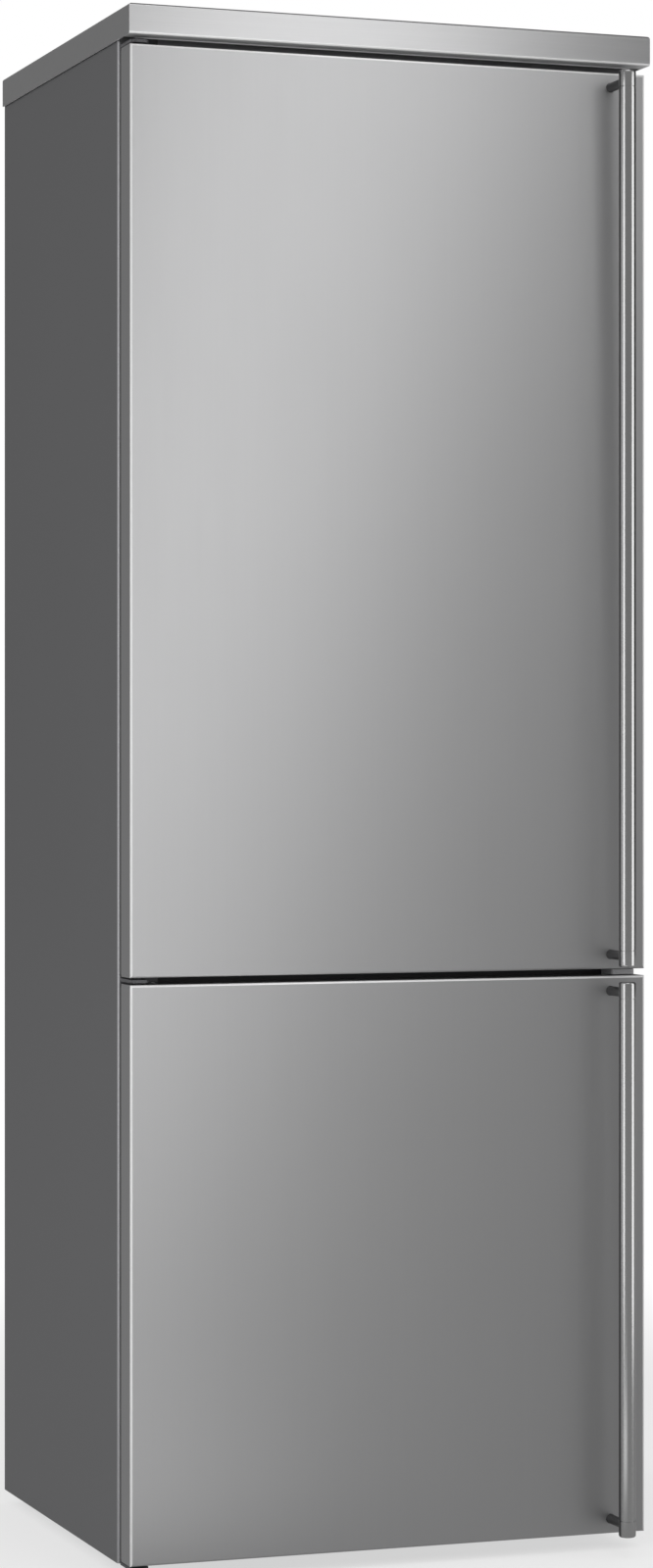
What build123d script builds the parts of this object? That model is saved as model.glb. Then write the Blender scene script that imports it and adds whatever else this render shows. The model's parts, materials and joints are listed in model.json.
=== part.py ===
"""Free-standing bottom-freezer refrigerator in stainless steel.

A tall insulated cabinet stands on two levelling feet and two rear rollers. Two doors hang on the
left: a tall one on the fridge compartment and a shorter one on the freezer below. Each has a bar
handle down its right side. A thick steel cap covers the roof and reaches forward over the doors.
Inside are glass shelves, an air duct with its fan, drawers, door balconies and a touch panel; the
freezer holds three drawers and, behind a cover, the evaporator with its fan. The compressor
stands in an open bay at the foot of the back.

Frame: +Z up, -Y to the front, +X to the right as seen from the front. The origin is the middle of
the footprint, on the floor. All sizes are in millimetres.
"""

from build123d import *
import os

# ---------------------------------------------------------------- driving dimensions

# Overall
TOTAL_HEIGHT = 1960.0
FLOOR_GAP = 17.0  # from the floor to the cabinet's underside
CABINET_WIDTH = 698.0
CABINET_DEPTH = 540.0  # from the plane that the door seals press on to the back
SHEET = 0.8  # outer steel sheet
CORNER_RADIUS = 3.5  # front corners of the side panels
SIDE_RETURN = 27.0  # front flange of the shell at each side
BACK_RETURN = 15.0  # rear flange of the shell
ROOF_RADIUS = 2.5  # bends between the roof and the sides
SPACER_DEPTH = 20.0  # wall spacers behind the back
SWAGES = 5  # pressed stiffening ribs in the back
SWAGE_WIDTH = 60.0
SWAGE_HEIGHT = 4.0  # how far a rib stands out
SWAGE_SLOPE = 6.0
SWAGE_MARGIN = 60.0  # from a rib's ends to the panel's
SPACER_HEIGHT_SHARE = 0.86  # of the whole height

# Cap over the roof
CAP_HEIGHT = 38.0
CAP_SHEET = 1.5
CAP_SIDE_OVERHANG = 3.0  # beyond the cabinet's side
CAP_FRONT_OVERHANG = 8.0  # beyond the doors' front
CAP_EDGE_RADIUS = 4.0
CAP_FOLD_RADIUS = 2.5  # where the front turns in under the overhang
CAP_LIP = 28.0  # how far the turned-in lip reaches back
CAP_HEM_RADIUS = 1.8  # rolled edge of the lip
CAP_HEM_INSET = 16.0  # from the cap's side to the rolled edge

# Doors
DOOR_SIDE_INSET = 1.0  # from the cabinet's side to the door's
DOOR_THICKNESS = 40.0
DOOR_EDGE_RADIUS = 3.0
DOOR_RETURN = 8.0  # steel flange round a door's back
FREEZER_DOOR_HEIGHT = 721.0
DOOR_BOTTOM_RISE = 5.0  # lower door's edge above the cabinet's underside
DOOR_GAP = 9.0  # between the two doors
DOOR_TOP_GAP = 11.0  # between the upper door and the cap
SEAL_GAP = 12.0  # between a door's back and the cabinet

# Magnetic seals
SEAL_INSET = 12.0  # from the door's edge
SEAL_WIDTH = 20.0
SEAL_BASE_WIDTH = 11.0
SEAL_BASE_DEPTH = 4.0
SEAL_CLEARANCE = 0.4
SEAL_LAND = 38.0  # from a door's edge to the mouth of its compartment

# Insulated walls
LINER = 2.0
LINER_FLANGE = 18.0
FRIDGE_WALL = 48.0
FREEZER_WALL = 60.0
BACK_WALL = 59.0
FREEZER_FLOOR_WALL = 50.0
CAVITY_RADIUS = 12.0

# Compressor bay
BAY_DEPTH = 204.0
BAY_HEIGHT = 250.0
BAY_SLOPE = 58.0  # size of the cut-off corner
BAY_WALL = 50.0  # insulation over the bay
BAY_SHEET = 1.0
BASE_SHEET = 1.5

# Handles
HANDLE_RADIUS = 11.0
HANDLE_STANDOFF = 53.0  # from the door's front to the bar's axis
HANDLE_SIDE_INSET = 48.0  # from the door's right edge to the bar's axis
HANDLE_END_INSET = 5.0
HANDLE_CAP_LENGTH = 22.0
HANDLE_POST_DROP = 14.0  # from a bar's end to its post's axis
HANDLE_POST_RADIUS = 6.0
HANDLE_END_RADIUS = 3.0
HANDLE_TUBE_WALL = 1.5

# Hinges
PIVOT_INSET = 16.0  # from the door's left edge to the pivot
PIVOT_FORWARD = 18.0  # from the door's back to the pivot
PIN_RADIUS = 4.0
PIN_ENGAGEMENT = 18.0
PIN_CLEARANCE = 0.05
BUSH_RADIUS = 8.0
BUSH_LENGTH = 22.0
HINGE_PLATE = 4.0
HINGE_TAB = 3.0
HINGE_WIDTH = 48.0
HINGE_LEAF_WIDTH = 24.0
HINGE_REACH = 48.0
HINGE_RUNNING_GAP = 2.5
COVER_WIDTH = 32.0  # cover over the unused hinge holes
COVER_REACH = 36.0
COVER_SIDE_INSET = 7.0
COVER_GAP = 1.0  # to each door
SCREW_RADIUS = 2.5
SCREW_HEAD_RADIUS = 4.5
SCREW_HEAD = 1.6
SCREW_LENGTH = 10.0

# Door liners and balconies
DIKE_SIDE_GAP = 14.0  # between a door's dike and the compartment's wall
FRIDGE_DIKE_DEPTH = 44.0
FREEZER_DIKE_DEPTH = 20.0
DIKE_WIDTH = 25.0
DIKE_FLOOR_DEPTH = 8.0
DIKE_RADIUS = 6.0
BALCONY_DEPTH = 100.0
BALCONY_WALL = 2.5
BALCONY_TAPER = 0.12  # how far the front leans out, by its depth
BALCONY_LIFT_GAP = 6.0  # room at each side for the ledge and the flange
LEDGE = 5.0
LEDGE_HEIGHT = 8.0
LEDGE_LENGTH = 24.0
DAIRY_HEIGHT = 72.0
BALCONY_HEIGHT = 90.0
BOTTLE_HEIGHT = 120.0
DAIRY_DROP = 233.0  # from the fridge's ceiling to the dairy balcony's underside
BOTTLE_RISE = 40.0  # from the fridge's floor to the bottle balcony's underside
BALCONY_BACK_GAP = 1.0
LID_THICKNESS = 2.0
LID_GAP = 0.5
LID_LIP = 20.0
LID_PIN_RADIUS = 2.0
STOP_LENGTH = 26.0  # bottle stop along the balcony
STOP_CLIP = 16.0
STOP_REACH = 62.0
STOP_HEIGHT = 22.0

# Fridge interior
SHELF_GLASS = 4.0
DRAWER_SPACES = (204.0, 146.0)  # height of each drawer's space, up to its shelf's underside
OPEN_SHELVES = 3  # shelves above the one that covers the drawers
TOP_SPACE = 193.0  # from the top shelf's underside to the ceiling
SHELF_SETBACK = 117.0  # from the seal plane to the shelves' front edges
SHELF_SIDE_GAP = 3.0
SHELF_BACK_GAP = 6.0
TRIM_HEIGHT = 12.0
TRIM_DEPTH = 9.0
RIB_WIDTH = 10.0
RIB_HEIGHT = 8.0
DUCT_WIDTH = 240.0
DUCT_DEPTH = 30.0
DUCT_WALL = 2.5
DUCT_BOTTOM_GAP = 8.0  # above the second shelf
DUCT_TOP_GAP = 10.0
DUCT_FAN_DROP = 88.0  # from the duct's top to the fan's axis
VENT_RISE = 60.0  # vents above their shelves
CONTROL_WIDTH = 300.0
CONTROL_DEPTH = 84.0
CONTROL_HEIGHT = 20.0
CONTROL_SETBACK = 42.0
BUTTON_WIDTH = 26.0
BUTTON_DEPTH = 12.0
BUTTON_X = (-90.0, 90.0)
BUTTON_PROUD = 1.4
BUTTON_FLANGE = 1.5
LED_TOP_GAP = 73.0  # from the light covers to the ceiling
LED_WIDTH = 15.0
LED_DEPTH = 3.0
LED_SETBACK = 74.0
LED_RISE = 20.0  # above the underside of the shelf that covers the drawers

# Freezer interior
COVER_SETBACK = 54.0  # from the freezer's back to the evaporator cover
COVER_SHEET = 2.5
UPPER_FREEZER_SHELF_RISE = 434.0
FREEZER_DRAWER_SETBACK = 52.0
EVAPORATOR_SIDE_GAP = 89.0  # from the freezer's wall to the fins
EVAPORATOR_DEPTH = 42.0
EVAPORATOR_HEIGHT = 190.0
EVAPORATOR_RISE = 24.0
EVAPORATOR_FINS = 26
FIN_THICKNESS = 3.0
EVAPORATOR_TUBES = 6
RETURN_SLOTS = 8  # low slots where the air goes back to the evaporator
RETURN_PITCH = 50.0
RETURN_LENGTH = 36.0
RETURN_RISE = 20.0

# Drawers
DRAWER_WALL = 2.5
DRAWER_SIDE_GAP = 1.0  # between a drawer's rim and the liner
DRAWER_RIM = 9.0
DRAWER_RIM_THICKNESS = 3.0
DRAWER_RADIUS = 10.0
DRAWER_FRONT = 5.0
DRAWER_TOP_GAP = 10.0
DRAWER_BOTTOM_GAP = 5.0
DRAWER_BACK_GAP = 8.0
DRAWER_DRAFT = 12.0  # how far the bin narrows at each side
SLIDE_CLEARANCE = 0.3
GRIP_WIDTH = 150.0
GRIP_DEPTH = 16.0
GRIP_HEIGHT = 14.0

# Fans
FAN_RADIUS = 52.0
FAN_HUB_RADIUS = 16.0
FAN_DEPTH = 14.0
FAN_BLADES = 5
FAN_BLADE_THICKNESS = 1.8
FAN_ROOT_PITCH = 30.0
FAN_TIP_PITCH = 18.0
FAN_SHAFT_RADIUS = 2.0
FAN_SHAFT_CLEARANCE = 0.05
MOTOR_RADIUS = 19.0
GRILLE_SLOT = 5.0
GRILLE_PITCH = 10.0
GRILLE_RADIUS = 48.0

# Compressor and its pipes
COMPRESSOR_RADIUS = 78.0
COMPRESSOR_HEIGHT = 150.0
COMPRESSOR_DOME = 30.0  # radius of its rounded ends
COMPRESSOR_SEAM = 3.0
COMPRESSOR_INSET = 219.0  # from the cabinet's right side to the compressor's axis
COMPRESSOR_FOOT = 3.0
COMPRESSOR_BOLT_X = 92.0
COMPRESSOR_BOLT_Y = 52.0
GROMMET_RADIUS = 13.0
GROMMET_WAIST_RADIUS = 9.75
GROMMET_HEIGHT = 18.0
TERMINAL_WIDTH = 30.0
TERMINAL_DEPTH = 62.0
TERMINAL_HEIGHT = 70.0
CORD_HOLE_RADIUS = 4.5
TRAY_WIDTH = 190.0
TRAY_DEPTH = 140.0
TRAY_HEIGHT = 30.0
TRAY_WALL = 2.0
TRAY_RADIUS = 14.0
PIPE_RADIUS = 4.0
PIPE_BEND = 16.0
DRIER_RADIUS = 11.0
DRIER_LENGTH = 90.0
DRAIN_RADIUS = 8.0

# Feet and rollers
FOOT_INSET = 59.0  # from the cabinet's side to a foot's axis
FOOT_SETBACK = 90.0
FOOT_PAD_RADIUS = 19.0
FOOT_PAD_HEIGHT = 8.0
FOOT_STUD_RADIUS = 5.0
FOOT_STUD_LENGTH = 30.0
FOOT_CLEARANCE = 0.3
FOOT_HEX_ACROSS = 17.0
FOOT_BOSS_RADIUS = 9.0
FOOT_BOSS_HEIGHT = 16.0
ROLLER_INSET = 64.0  # from the cabinet's side to a roller's middle
ROLLER_SETBACK = 34.0  # from the back
ROLLER_RADIUS = 14.0
ROLLER_WIDTH = 20.0
ROLLER_TRUNNION_RADIUS = 3.5
ROLLER_CLEARANCE = 0.5
TRUNNION_CLEARANCE = 0.08
CHEEK = 4.0
CHEEK_HEIGHT = 16.0

# ---------------------------------------------------------------- derived planes

HANDLE_REACH = HANDLE_STANDOFF + HANDLE_RADIUS
TOTAL_DEPTH = HANDLE_REACH + DOOR_THICKNESS + SEAL_GAP + CABINET_DEPTH + SPACER_DEPTH
DOOR_FRONT_Y = -TOTAL_DEPTH / 2 + HANDLE_REACH
DOOR_BACK_Y = DOOR_FRONT_Y + DOOR_THICKNESS
SEAL_Y = DOOR_BACK_Y + SEAL_GAP  # the cabinet's front
BACK_Y = SEAL_Y + CABINET_DEPTH
SIDE_X = CABINET_WIDTH / 2
DOOR_X = SIDE_X - DOOR_SIDE_INSET
INNER_X = SIDE_X - SHEET
RETURN_X = SIDE_X - SIDE_RETURN
PANEL_Y = BACK_Y - SHEET  # outer face of the back panel
FOAM_BACK_Y = PANEL_Y - SHEET

BASE_Z = FLOOR_GAP
BASE_TOP_Z = BASE_Z + BASE_SHEET
ROOF_Z = TOTAL_HEIGHT - CAP_SHEET
ROOF_UNDER_Z = ROOF_Z - SHEET
CAP_Z = TOTAL_HEIGHT - CAP_HEIGHT
CAP_X = SIDE_X + CAP_SIDE_OVERHANG
CAP_FRONT_Y = DOOR_FRONT_Y - CAP_FRONT_OVERHANG

LOWER_DOOR_Z = (BASE_Z + DOOR_BOTTOM_RISE, BASE_Z + DOOR_BOTTOM_RISE + FREEZER_DOOR_HEIGHT)
UPPER_DOOR_Z = (LOWER_DOOR_Z[1] + DOOR_GAP, CAP_Z - DOOR_TOP_GAP)

CAVITY_BACK_Y = BACK_Y - BACK_WALL
FRIDGE_X = SIDE_X - FRIDGE_WALL
FREEZER_X = SIDE_X - FREEZER_WALL
FRIDGE_Z = (UPPER_DOOR_Z[0] + SEAL_LAND, UPPER_DOOR_Z[1] - SEAL_LAND)
FREEZER_Z = (BASE_Z + FREEZER_FLOOR_WALL, LOWER_DOOR_Z[1] - SEAL_LAND)
BAY_FRONT_Y = BACK_Y - BAY_DEPTH
BAY_TOP_Z = BASE_TOP_Z + BAY_HEIGHT
STEP_TOP_Z = BAY_TOP_Z + BAY_WALL  # freezer floor over the bay
STEP_FRONT_Y = BAY_FRONT_Y - BAY_WALL

PIVOT_X = -DOOR_X + PIVOT_INSET
PIVOT_Y = DOOR_BACK_Y - PIVOT_FORWARD
HANDLE_X = DOOR_X - HANDLE_SIDE_INSET
HANDLE_Y = DOOR_FRONT_Y - HANDLE_STANDOFF

SHELF_FRONT_Y = SEAL_Y + SHELF_SETBACK
DUCT_FRONT_Y = CAVITY_BACK_Y - DUCT_DEPTH
SHELF_BACK_Y = DUCT_FRONT_Y - SHELF_BACK_GAP
SHELF_X = FRIDGE_X - SHELF_SIDE_GAP
SHELF_Z = [FRIDGE_Z[0] + DRAWER_SPACES[0], FRIDGE_Z[0] + sum(DRAWER_SPACES)]
SHELF_PITCH = (FRIDGE_Z[1] - TOP_SPACE - SHELF_Z[1]) / OPEN_SHELVES
SHELF_Z += [SHELF_Z[1] + (index + 1) * SHELF_PITCH for index in range(OPEN_SHELVES)]
COVER_Y = CAVITY_BACK_Y - COVER_SETBACK
FREEZER_SHELF_Z = [STEP_TOP_Z, FREEZER_Z[0] + UPPER_FREEZER_SHELF_RISE]
FREEZER_SHELF_X = FREEZER_X - SHELF_SIDE_GAP
FREEZER_DRAWER_Y = SEAL_Y + FREEZER_DRAWER_SETBACK

DIKE_X = FRIDGE_X - DIKE_SIDE_GAP
DIKE_INNER_X = DIKE_X - DIKE_WIDTH
BALCONY_X = DIKE_INNER_X - BALCONY_LIFT_GAP
DIKE_FLOOR_Y = DOOR_BACK_Y + DIKE_FLOOR_DEPTH
BALCONY_BACK_Y = DIKE_FLOOR_Y + BALCONY_BACK_GAP
BALCONY_FRONT_Y = BALCONY_BACK_Y + BALCONY_DEPTH

COMPRESSOR_X = SIDE_X - COMPRESSOR_INSET
COMPRESSOR_Y = (BAY_FRONT_Y + BACK_Y) / 2
GROMMET_TOP_Z = BASE_TOP_Z + GROMMET_HEIGHT
COMPRESSOR_Z = GROMMET_TOP_Z + COMPRESSOR_FOOT
TRAY_Z = COMPRESSOR_Z + COMPRESSOR_HEIGHT  # the tray sits on the compressor
TRAY_TOP_Z = TRAY_Z + TRAY_HEIGHT

FOOT_X = SIDE_X - FOOT_INSET
FOOT_Y = SEAL_Y + FOOT_SETBACK
ROLLER_X = SIDE_X - ROLLER_INSET
ROLLER_Y = BACK_Y - ROLLER_SETBACK


# ---------------------------------------------------------------- helpers


def block(x, y, z):
    """A box from three (low, high) pairs."""
    size = [abs(b - a) for a, b in (x, y, z)]
    middle = [(a + b) / 2 for a, b in (x, y, z)]
    return Pos(*middle) * Box(*size)


def both_sides(shape):
    """The shape and its mirror image across the middle of the cabinet."""
    return Part() + [shape, mirror(shape, Plane.YZ)]


def ring(x, z, y, width):
    """A rectangular frame in the XZ plane: outer sides x and z, from y[0] to y[1]."""
    hole = block((x[0] + width, x[1] - width), y, (z[0] + width, z[1] - width))
    return block(x, y, z) - hole


def side_profile(points, half_width):
    """A YZ outline, given as (y, z) points, carried from -half_width to half_width."""
    outline = Plane.YZ * make_face(Polyline(*points, close=True))
    return extrude(outline, half_width, both=True)


def rod(start, axis, radius, length):
    """A round bar from a start point along axis, which is 'X', 'Y' or 'Z'."""
    direction = {"X": (1, 0, 0), "Y": (0, 1, 0), "Z": (0, 0, 1)}[axis]
    return Plane(origin=start, z_dir=direction) * Cylinder(
        radius, length, align=(Align.CENTER, Align.CENTER, Align.MIN)
    )


def long_edges(shape, axis, radius):
    """The shape with its edges along one axis rounded."""
    return fillet(shape.edges().filter_by(axis), radius)


# ---------------------------------------------------------------- cabinet shell


def footprint(x, y_front, y_back, radius):
    """The cabinet's rounded outline in the XY plane."""
    outline = Pos(0, (y_front + y_back) / 2) * Rectangle(2 * x, y_back - y_front)
    front = outline.vertices().group_by(Axis.Y)[0]
    return fillet(front, radius)


def shell_block(inset):
    """The cabinet's rounded outer form, with its front, sides and roof moved in by inset."""
    outline = footprint(SIDE_X - inset, SEAL_Y + inset, BACK_Y, CORNER_RADIUS - inset)
    body = Pos(0, 0, BASE_Z) * extrude(outline, ROOF_Z - inset - BASE_Z)
    top = body.faces().sort_by(Axis.Z)[-1]
    bends = [edge for edge in top.edges() if edge.center().Y < BACK_Y - inset - 1]
    return fillet(bends, ROOF_RADIUS - inset)


def outer_wrapper():
    """Steel sides and roof of the cabinet, folded from one sheet, with flanges front and back."""
    front_opening = block(
        (-RETURN_X, RETURN_X), (SEAL_Y, SEAL_Y + SHEET), (BASE_Z, FRIDGE_Z[1] + LINER_FLANGE)
    )
    back_x = SIDE_X - BACK_RETURN
    flange = block((-SIDE_X, -back_x), (PANEL_Y, BACK_Y), (BASE_Z, ROOF_Z - ROOF_RADIUS))
    upper = block((-INNER_X, INNER_X), (PANEL_Y, BACK_Y), (ROOF_Z - BACK_RETURN, ROOF_UNDER_Z))
    wrapper = shell_block(0) - shell_block(SHEET) - front_opening
    wrapper = wrapper + both_sides(flange) + (upper & shell_block(SHEET))
    return wrapper - hinge_screws()


def roller_cheeks():
    """The two cheeks that carry the left roller's trunnions."""
    x = -ROLLER_X
    half = ROLLER_WIDTH / 2 + ROLLER_CLEARANCE
    half_depth = ROLLER_TRUNNION_RADIUS + CHEEK
    z = (ROLLER_RADIUS - CHEEK_HEIGHT / 2, ROLLER_RADIUS + CHEEK_HEIGHT / 2)
    y = (ROLLER_Y - half_depth, ROLLER_Y + half_depth)
    cheeks = block((x - half - CHEEK, x - half), y, z) + block((x + half, x + half + CHEEK), y, z)
    cheeks = fillet(cheeks.edges().filter_by(Axis.X), CHEEK)
    reach = half + CHEEK
    bore_radius = ROLLER_TRUNNION_RADIUS + TRUNNION_CLEARANCE
    return cheeks - rod((x - reach, ROLLER_Y, ROLLER_RADIUS), "X", bore_radius, 2 * reach)


def base_plate():
    """Steel floor pan with slots and cheeks for the rollers and threaded bosses for the feet."""
    outline = footprint(INNER_X, SEAL_Y + LINER, PANEL_Y, CORNER_RADIUS)
    plate = Pos(0, 0, BASE_Z) * extrude(outline, BASE_SHEET)
    half_slot = ROLLER_WIDTH / 2 + ROLLER_CLEARANCE
    slot_y = ROLLER_RADIUS + ROLLER_CLEARANCE
    bearing = ROLLER_TRUNNION_RADIUS + TRUNNION_CLEARANCE
    slot = block(
        (-ROLLER_X - half_slot, -ROLLER_X + half_slot),
        (ROLLER_Y - slot_y, ROLLER_Y + slot_y),
        (BASE_Z, BASE_TOP_Z),
    )
    slot += block(
        (-ROLLER_X - half_slot - CHEEK, -ROLLER_X + half_slot + CHEEK),
        (ROLLER_Y - bearing, ROLLER_Y + bearing),
        (BASE_Z, BASE_TOP_Z),
    )
    boss = rod((-FOOT_X, FOOT_Y, BASE_TOP_Z), "Z", FOOT_BOSS_RADIUS, FOOT_BOSS_HEIGHT)
    bore_length = BASE_SHEET + FOOT_BOSS_HEIGHT
    bore = rod((-FOOT_X, FOOT_Y, BASE_Z), "Z", FOOT_STUD_RADIUS + FOOT_CLEARANCE, bore_length)
    return plate - both_sides(slot) + both_sides(boss + roller_cheeks()) - both_sides(bore)


def swage_pitch():
    """Distance between the back panel's ribs."""
    return 2 * (INNER_X - BACK_RETURN) / (SWAGES + 1)


def swage(x, y):
    """The space under one pressed rib round x, standing out from the plane at y."""
    half = SWAGE_WIDTH / 2
    crest = half - SWAGE_SLOPE
    outline = Polyline(
        (x - half, y), (x - crest, y + SWAGE_HEIGHT), (x + crest, y + SWAGE_HEIGHT), (x + half, y), close=True
    )
    low = BAY_TOP_Z + SWAGE_MARGIN
    return Pos(0, 0, low) * extrude(make_face(outline), ROOF_UNDER_Z - SWAGE_MARGIN - low)


def back_panel():
    """Back sheet with pressed vertical swages, held behind the side panels' rear flanges."""
    panel = block((-INNER_X, INNER_X), (FOAM_BACK_Y, PANEL_Y), (BAY_TOP_Z, ROOF_UNDER_Z))
    panel = fillet(panel.edges().filter_by(Axis.Y).group_by(Axis.Z)[-1], ROOF_RADIUS)
    for index in range(SWAGES):
        x = (index - (SWAGES - 1) / 2) * swage_pitch()
        panel = panel + swage(x, PANEL_Y) - swage(x, FOAM_BACK_Y)
    return panel


def bay_outline():
    """The compressor bay's (y, z) outline, with its cut-off upper front corner."""
    return [
        (BAY_FRONT_Y, BASE_TOP_Z),
        (BAY_FRONT_Y, BAY_TOP_Z - BAY_SLOPE),
        (BAY_FRONT_Y + BAY_SLOPE, BAY_TOP_Z),
        (BACK_Y, BAY_TOP_Z),
        (BACK_Y, BASE_TOP_Z),
    ]


def bay_face():
    """The bay's outline as a face in the YZ plane."""
    return Plane.YZ * make_face(Polyline(*bay_outline(), close=True))


def bay_shroud():
    """Folded sheet that closes the foam off from the compressor bay."""
    bay = extrude(bay_face(), INNER_X, both=True)
    hollow = extrude(offset(bay_face(), -BAY_SHEET, kind=Kind.INTERSECTION), INNER_X, both=True)
    x = (-INNER_X, INNER_X)
    below = block(x, (BAY_FRONT_Y + BAY_SHEET, BACK_Y), (BASE_TOP_Z, BASE_TOP_Z + BAY_SHEET))
    behind = block(x, (FOAM_BACK_Y - BAY_SHEET, BACK_Y), (BASE_TOP_Z, BAY_TOP_Z - BAY_SHEET))
    past = block(x, (FOAM_BACK_Y, BACK_Y), (BASE_TOP_Z, BAY_TOP_Z))
    drain = rod((COMPRESSOR_X, COMPRESSOR_Y, BAY_TOP_Z - BAY_SHEET), "Z", DRAIN_RADIUS, BAY_SHEET)
    return bay - hollow - below - behind - past - drain


def fridge_cavity(grow):
    """The fridge compartment's space, grown on every closed side."""
    space = block(
        (-FRIDGE_X - grow, FRIDGE_X + grow),
        (SEAL_Y, CAVITY_BACK_Y + grow),
        (FRIDGE_Z[0] - grow, FRIDGE_Z[1] + grow),
    )
    return long_edges(space, Axis.Y, CAVITY_RADIUS + grow)


def freezer_cavity(grow):
    """The freezer compartment's space, stepped over the compressor bay."""
    space = block(
        (-FREEZER_X - grow, FREEZER_X + grow),
        (SEAL_Y, CAVITY_BACK_Y + grow),
        (FREEZER_Z[0] - grow, FREEZER_Z[1] + grow),
    )
    space = long_edges(space, Axis.Y, CAVITY_RADIUS + grow)
    step = offset(bay_face(), BAY_WALL - grow, kind=Kind.INTERSECTION)
    return space - extrude(step, SIDE_X, both=True)


def liner_flange(z):
    """Front flange of a liner, from the side panels' flanges inwards."""
    return block(
        (-RETURN_X, RETURN_X),
        (SEAL_Y, SEAL_Y + LINER),
        (z[0] - LINER_FLANGE, z[1] + LINER_FLANGE),
    )


def side_rib(wall_x, y, top_z):
    """A moulded rib on the left wall, with its upper face at top_z."""
    rib = block((-wall_x, -wall_x + RIB_WIDTH), y, (top_z - RIB_HEIGHT, top_z))
    lower = rib.edges().filter_by(Axis.Y).group_by(Axis.Z)[0].sort_by(Axis.X)[-1]
    return chamfer(lower, RIB_HEIGHT / 2)


def fridge_rib_spans():
    """(front y, back y, top z) of each rib in the fridge."""
    spans = [(SHELF_FRONT_Y, SHELF_BACK_Y, z) for z in SHELF_Z]
    front = SHELF_FRONT_Y + DRAWER_FRONT + SLIDE_CLEARANCE
    for span in fridge_drawer_spans():
        spans.append((front, SHELF_BACK_Y, drawer_rim_z(span) - SLIDE_CLEARANCE))
    return spans


def fridge_liner():
    """White moulded inner box of the fridge, with ribs for shelves and drawers."""
    shell = fridge_cavity(LINER) + liner_flange(FRIDGE_Z) - fridge_cavity(0)
    for front, back, top in fridge_rib_spans():
        shell += both_sides(side_rib(FRIDGE_X, (front, back), top))
    return shell


def freezer_rib_spans():
    """(front y, back y, top z) of each rib in the freezer."""
    cover = COVER_Y - COVER_SHEET
    spans = [
        (FREEZER_DRAWER_Y, STEP_FRONT_Y, FREEZER_SHELF_Z[0]),
        (FREEZER_DRAWER_Y, cover, FREEZER_SHELF_Z[1]),
    ]
    front = FREEZER_DRAWER_Y + DRAWER_FRONT + SLIDE_CLEARANCE
    for index, span in enumerate(freezer_drawer_spans()):
        back = STEP_FRONT_Y if index == 0 else cover
        spans.append((front, back, drawer_rim_z(span) - SLIDE_CLEARANCE))
    return spans


def freezer_liner():
    """White moulded inner box of the freezer, stepped over the compressor bay."""
    shell = freezer_cavity(LINER) + liner_flange(FREEZER_Z) - freezer_cavity(0)
    for front, back, top in freezer_rib_spans():
        shell += both_sides(side_rib(FREEZER_X, (front, back), top))
    return shell


def front_rails():
    """Two steel cross rails in the cabinet's front, between and below the liners."""
    spans = [
        (BASE_Z, FREEZER_Z[0] - LINER_FLANGE),
        (FREEZER_Z[1] + LINER_FLANGE, FRIDGE_Z[0] - LINER_FLANGE),
    ]
    rails = [block((-RETURN_X, RETURN_X), (SEAL_Y, SEAL_Y + LINER), z) for z in spans]
    return Part() + rails - hinge_screws()


def cabinet_foam():
    """Polyurethane foam between the outer shell and the two liners."""
    limits = block((-INNER_X, INNER_X), (SEAL_Y + LINER, FOAM_BACK_Y), (BASE_TOP_Z, ROOF_UNDER_Z))
    foam = shell_block(SHEET) & limits
    foam -= fridge_cavity(LINER)
    foam -= freezer_cavity(LINER)
    foam -= extrude(bay_face(), INNER_X, both=True)
    boss = rod((-FOOT_X, FOOT_Y, BASE_TOP_Z), "Z", FOOT_BOSS_RADIUS, FOOT_BOSS_HEIGHT)
    return foam - both_sides(boss) - hinge_screws()


# ---------------------------------------------------------------- cap


def top_cap():
    """Thick-looking steel hood over the roof: a folded sheet with a lip under its overhang."""
    outer = block((-CAP_X, CAP_X), (CAP_FRONT_Y, BACK_Y), (CAP_Z, TOTAL_HEIGHT))
    front_edges = outer.edges().filter_by(Axis.X).group_by(Axis.Y)[0].sort_by(Axis.Z)
    top_sides = outer.edges().filter_by(Axis.Y).group_by(Axis.Z)[-1]
    outer = fillet([front_edges[-1], *top_sides], CAP_EDGE_RADIUS)
    fold = outer.edges().filter_by(Axis.X).group_by(Axis.Z)[0].sort_by(Axis.Y)[0]
    outer = fillet(fold, CAP_FOLD_RADIUS)
    inner_x = CAP_X - CAP_SHEET
    hollow_y = (CAP_FRONT_Y + CAP_SHEET, BACK_Y)
    hollow = block((-inner_x, inner_x), hollow_y, (CAP_Z + CAP_SHEET, ROOF_Z))
    bends = hollow.edges().filter_by(Axis.Y).group_by(Axis.Z)[-1]
    hollow = fillet(bends, CAP_EDGE_RADIUS - CAP_SHEET)
    inner_fold = hollow.edges().filter_by(Axis.X).group_by(Axis.Z)[0].sort_by(Axis.Y)[0]
    hollow = fillet(inner_fold, CAP_FOLD_RADIUS - CAP_SHEET)
    lip_y = CAP_FRONT_Y + CAP_LIP
    opening = block((-inner_x, inner_x), (lip_y, BACK_Y), (CAP_Z, CAP_Z + CAP_SHEET))
    hem_x = CAP_X - CAP_HEM_INSET
    hem = rod((-hem_x, lip_y, CAP_Z + CAP_SHEET / 2), "X", CAP_HEM_RADIUS, 2 * hem_x)
    return outer - hollow - opening + hem


# ---------------------------------------------------------------- hinges


def hinge_plate(z):
    """The flat, rounded leaf of a hinge at height z, reaching forward over the pivot."""
    left = -DOOR_X + HINGE_RUNNING_GAP
    leaf = block((left, left + HINGE_LEAF_WIDTH), (SEAL_Y - HINGE_REACH, SEAL_Y), z)
    front = leaf.edges().filter_by(Axis.Z).group_by(Axis.Y)[0]
    return fillet(front, PIVOT_INSET / 2)


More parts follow.
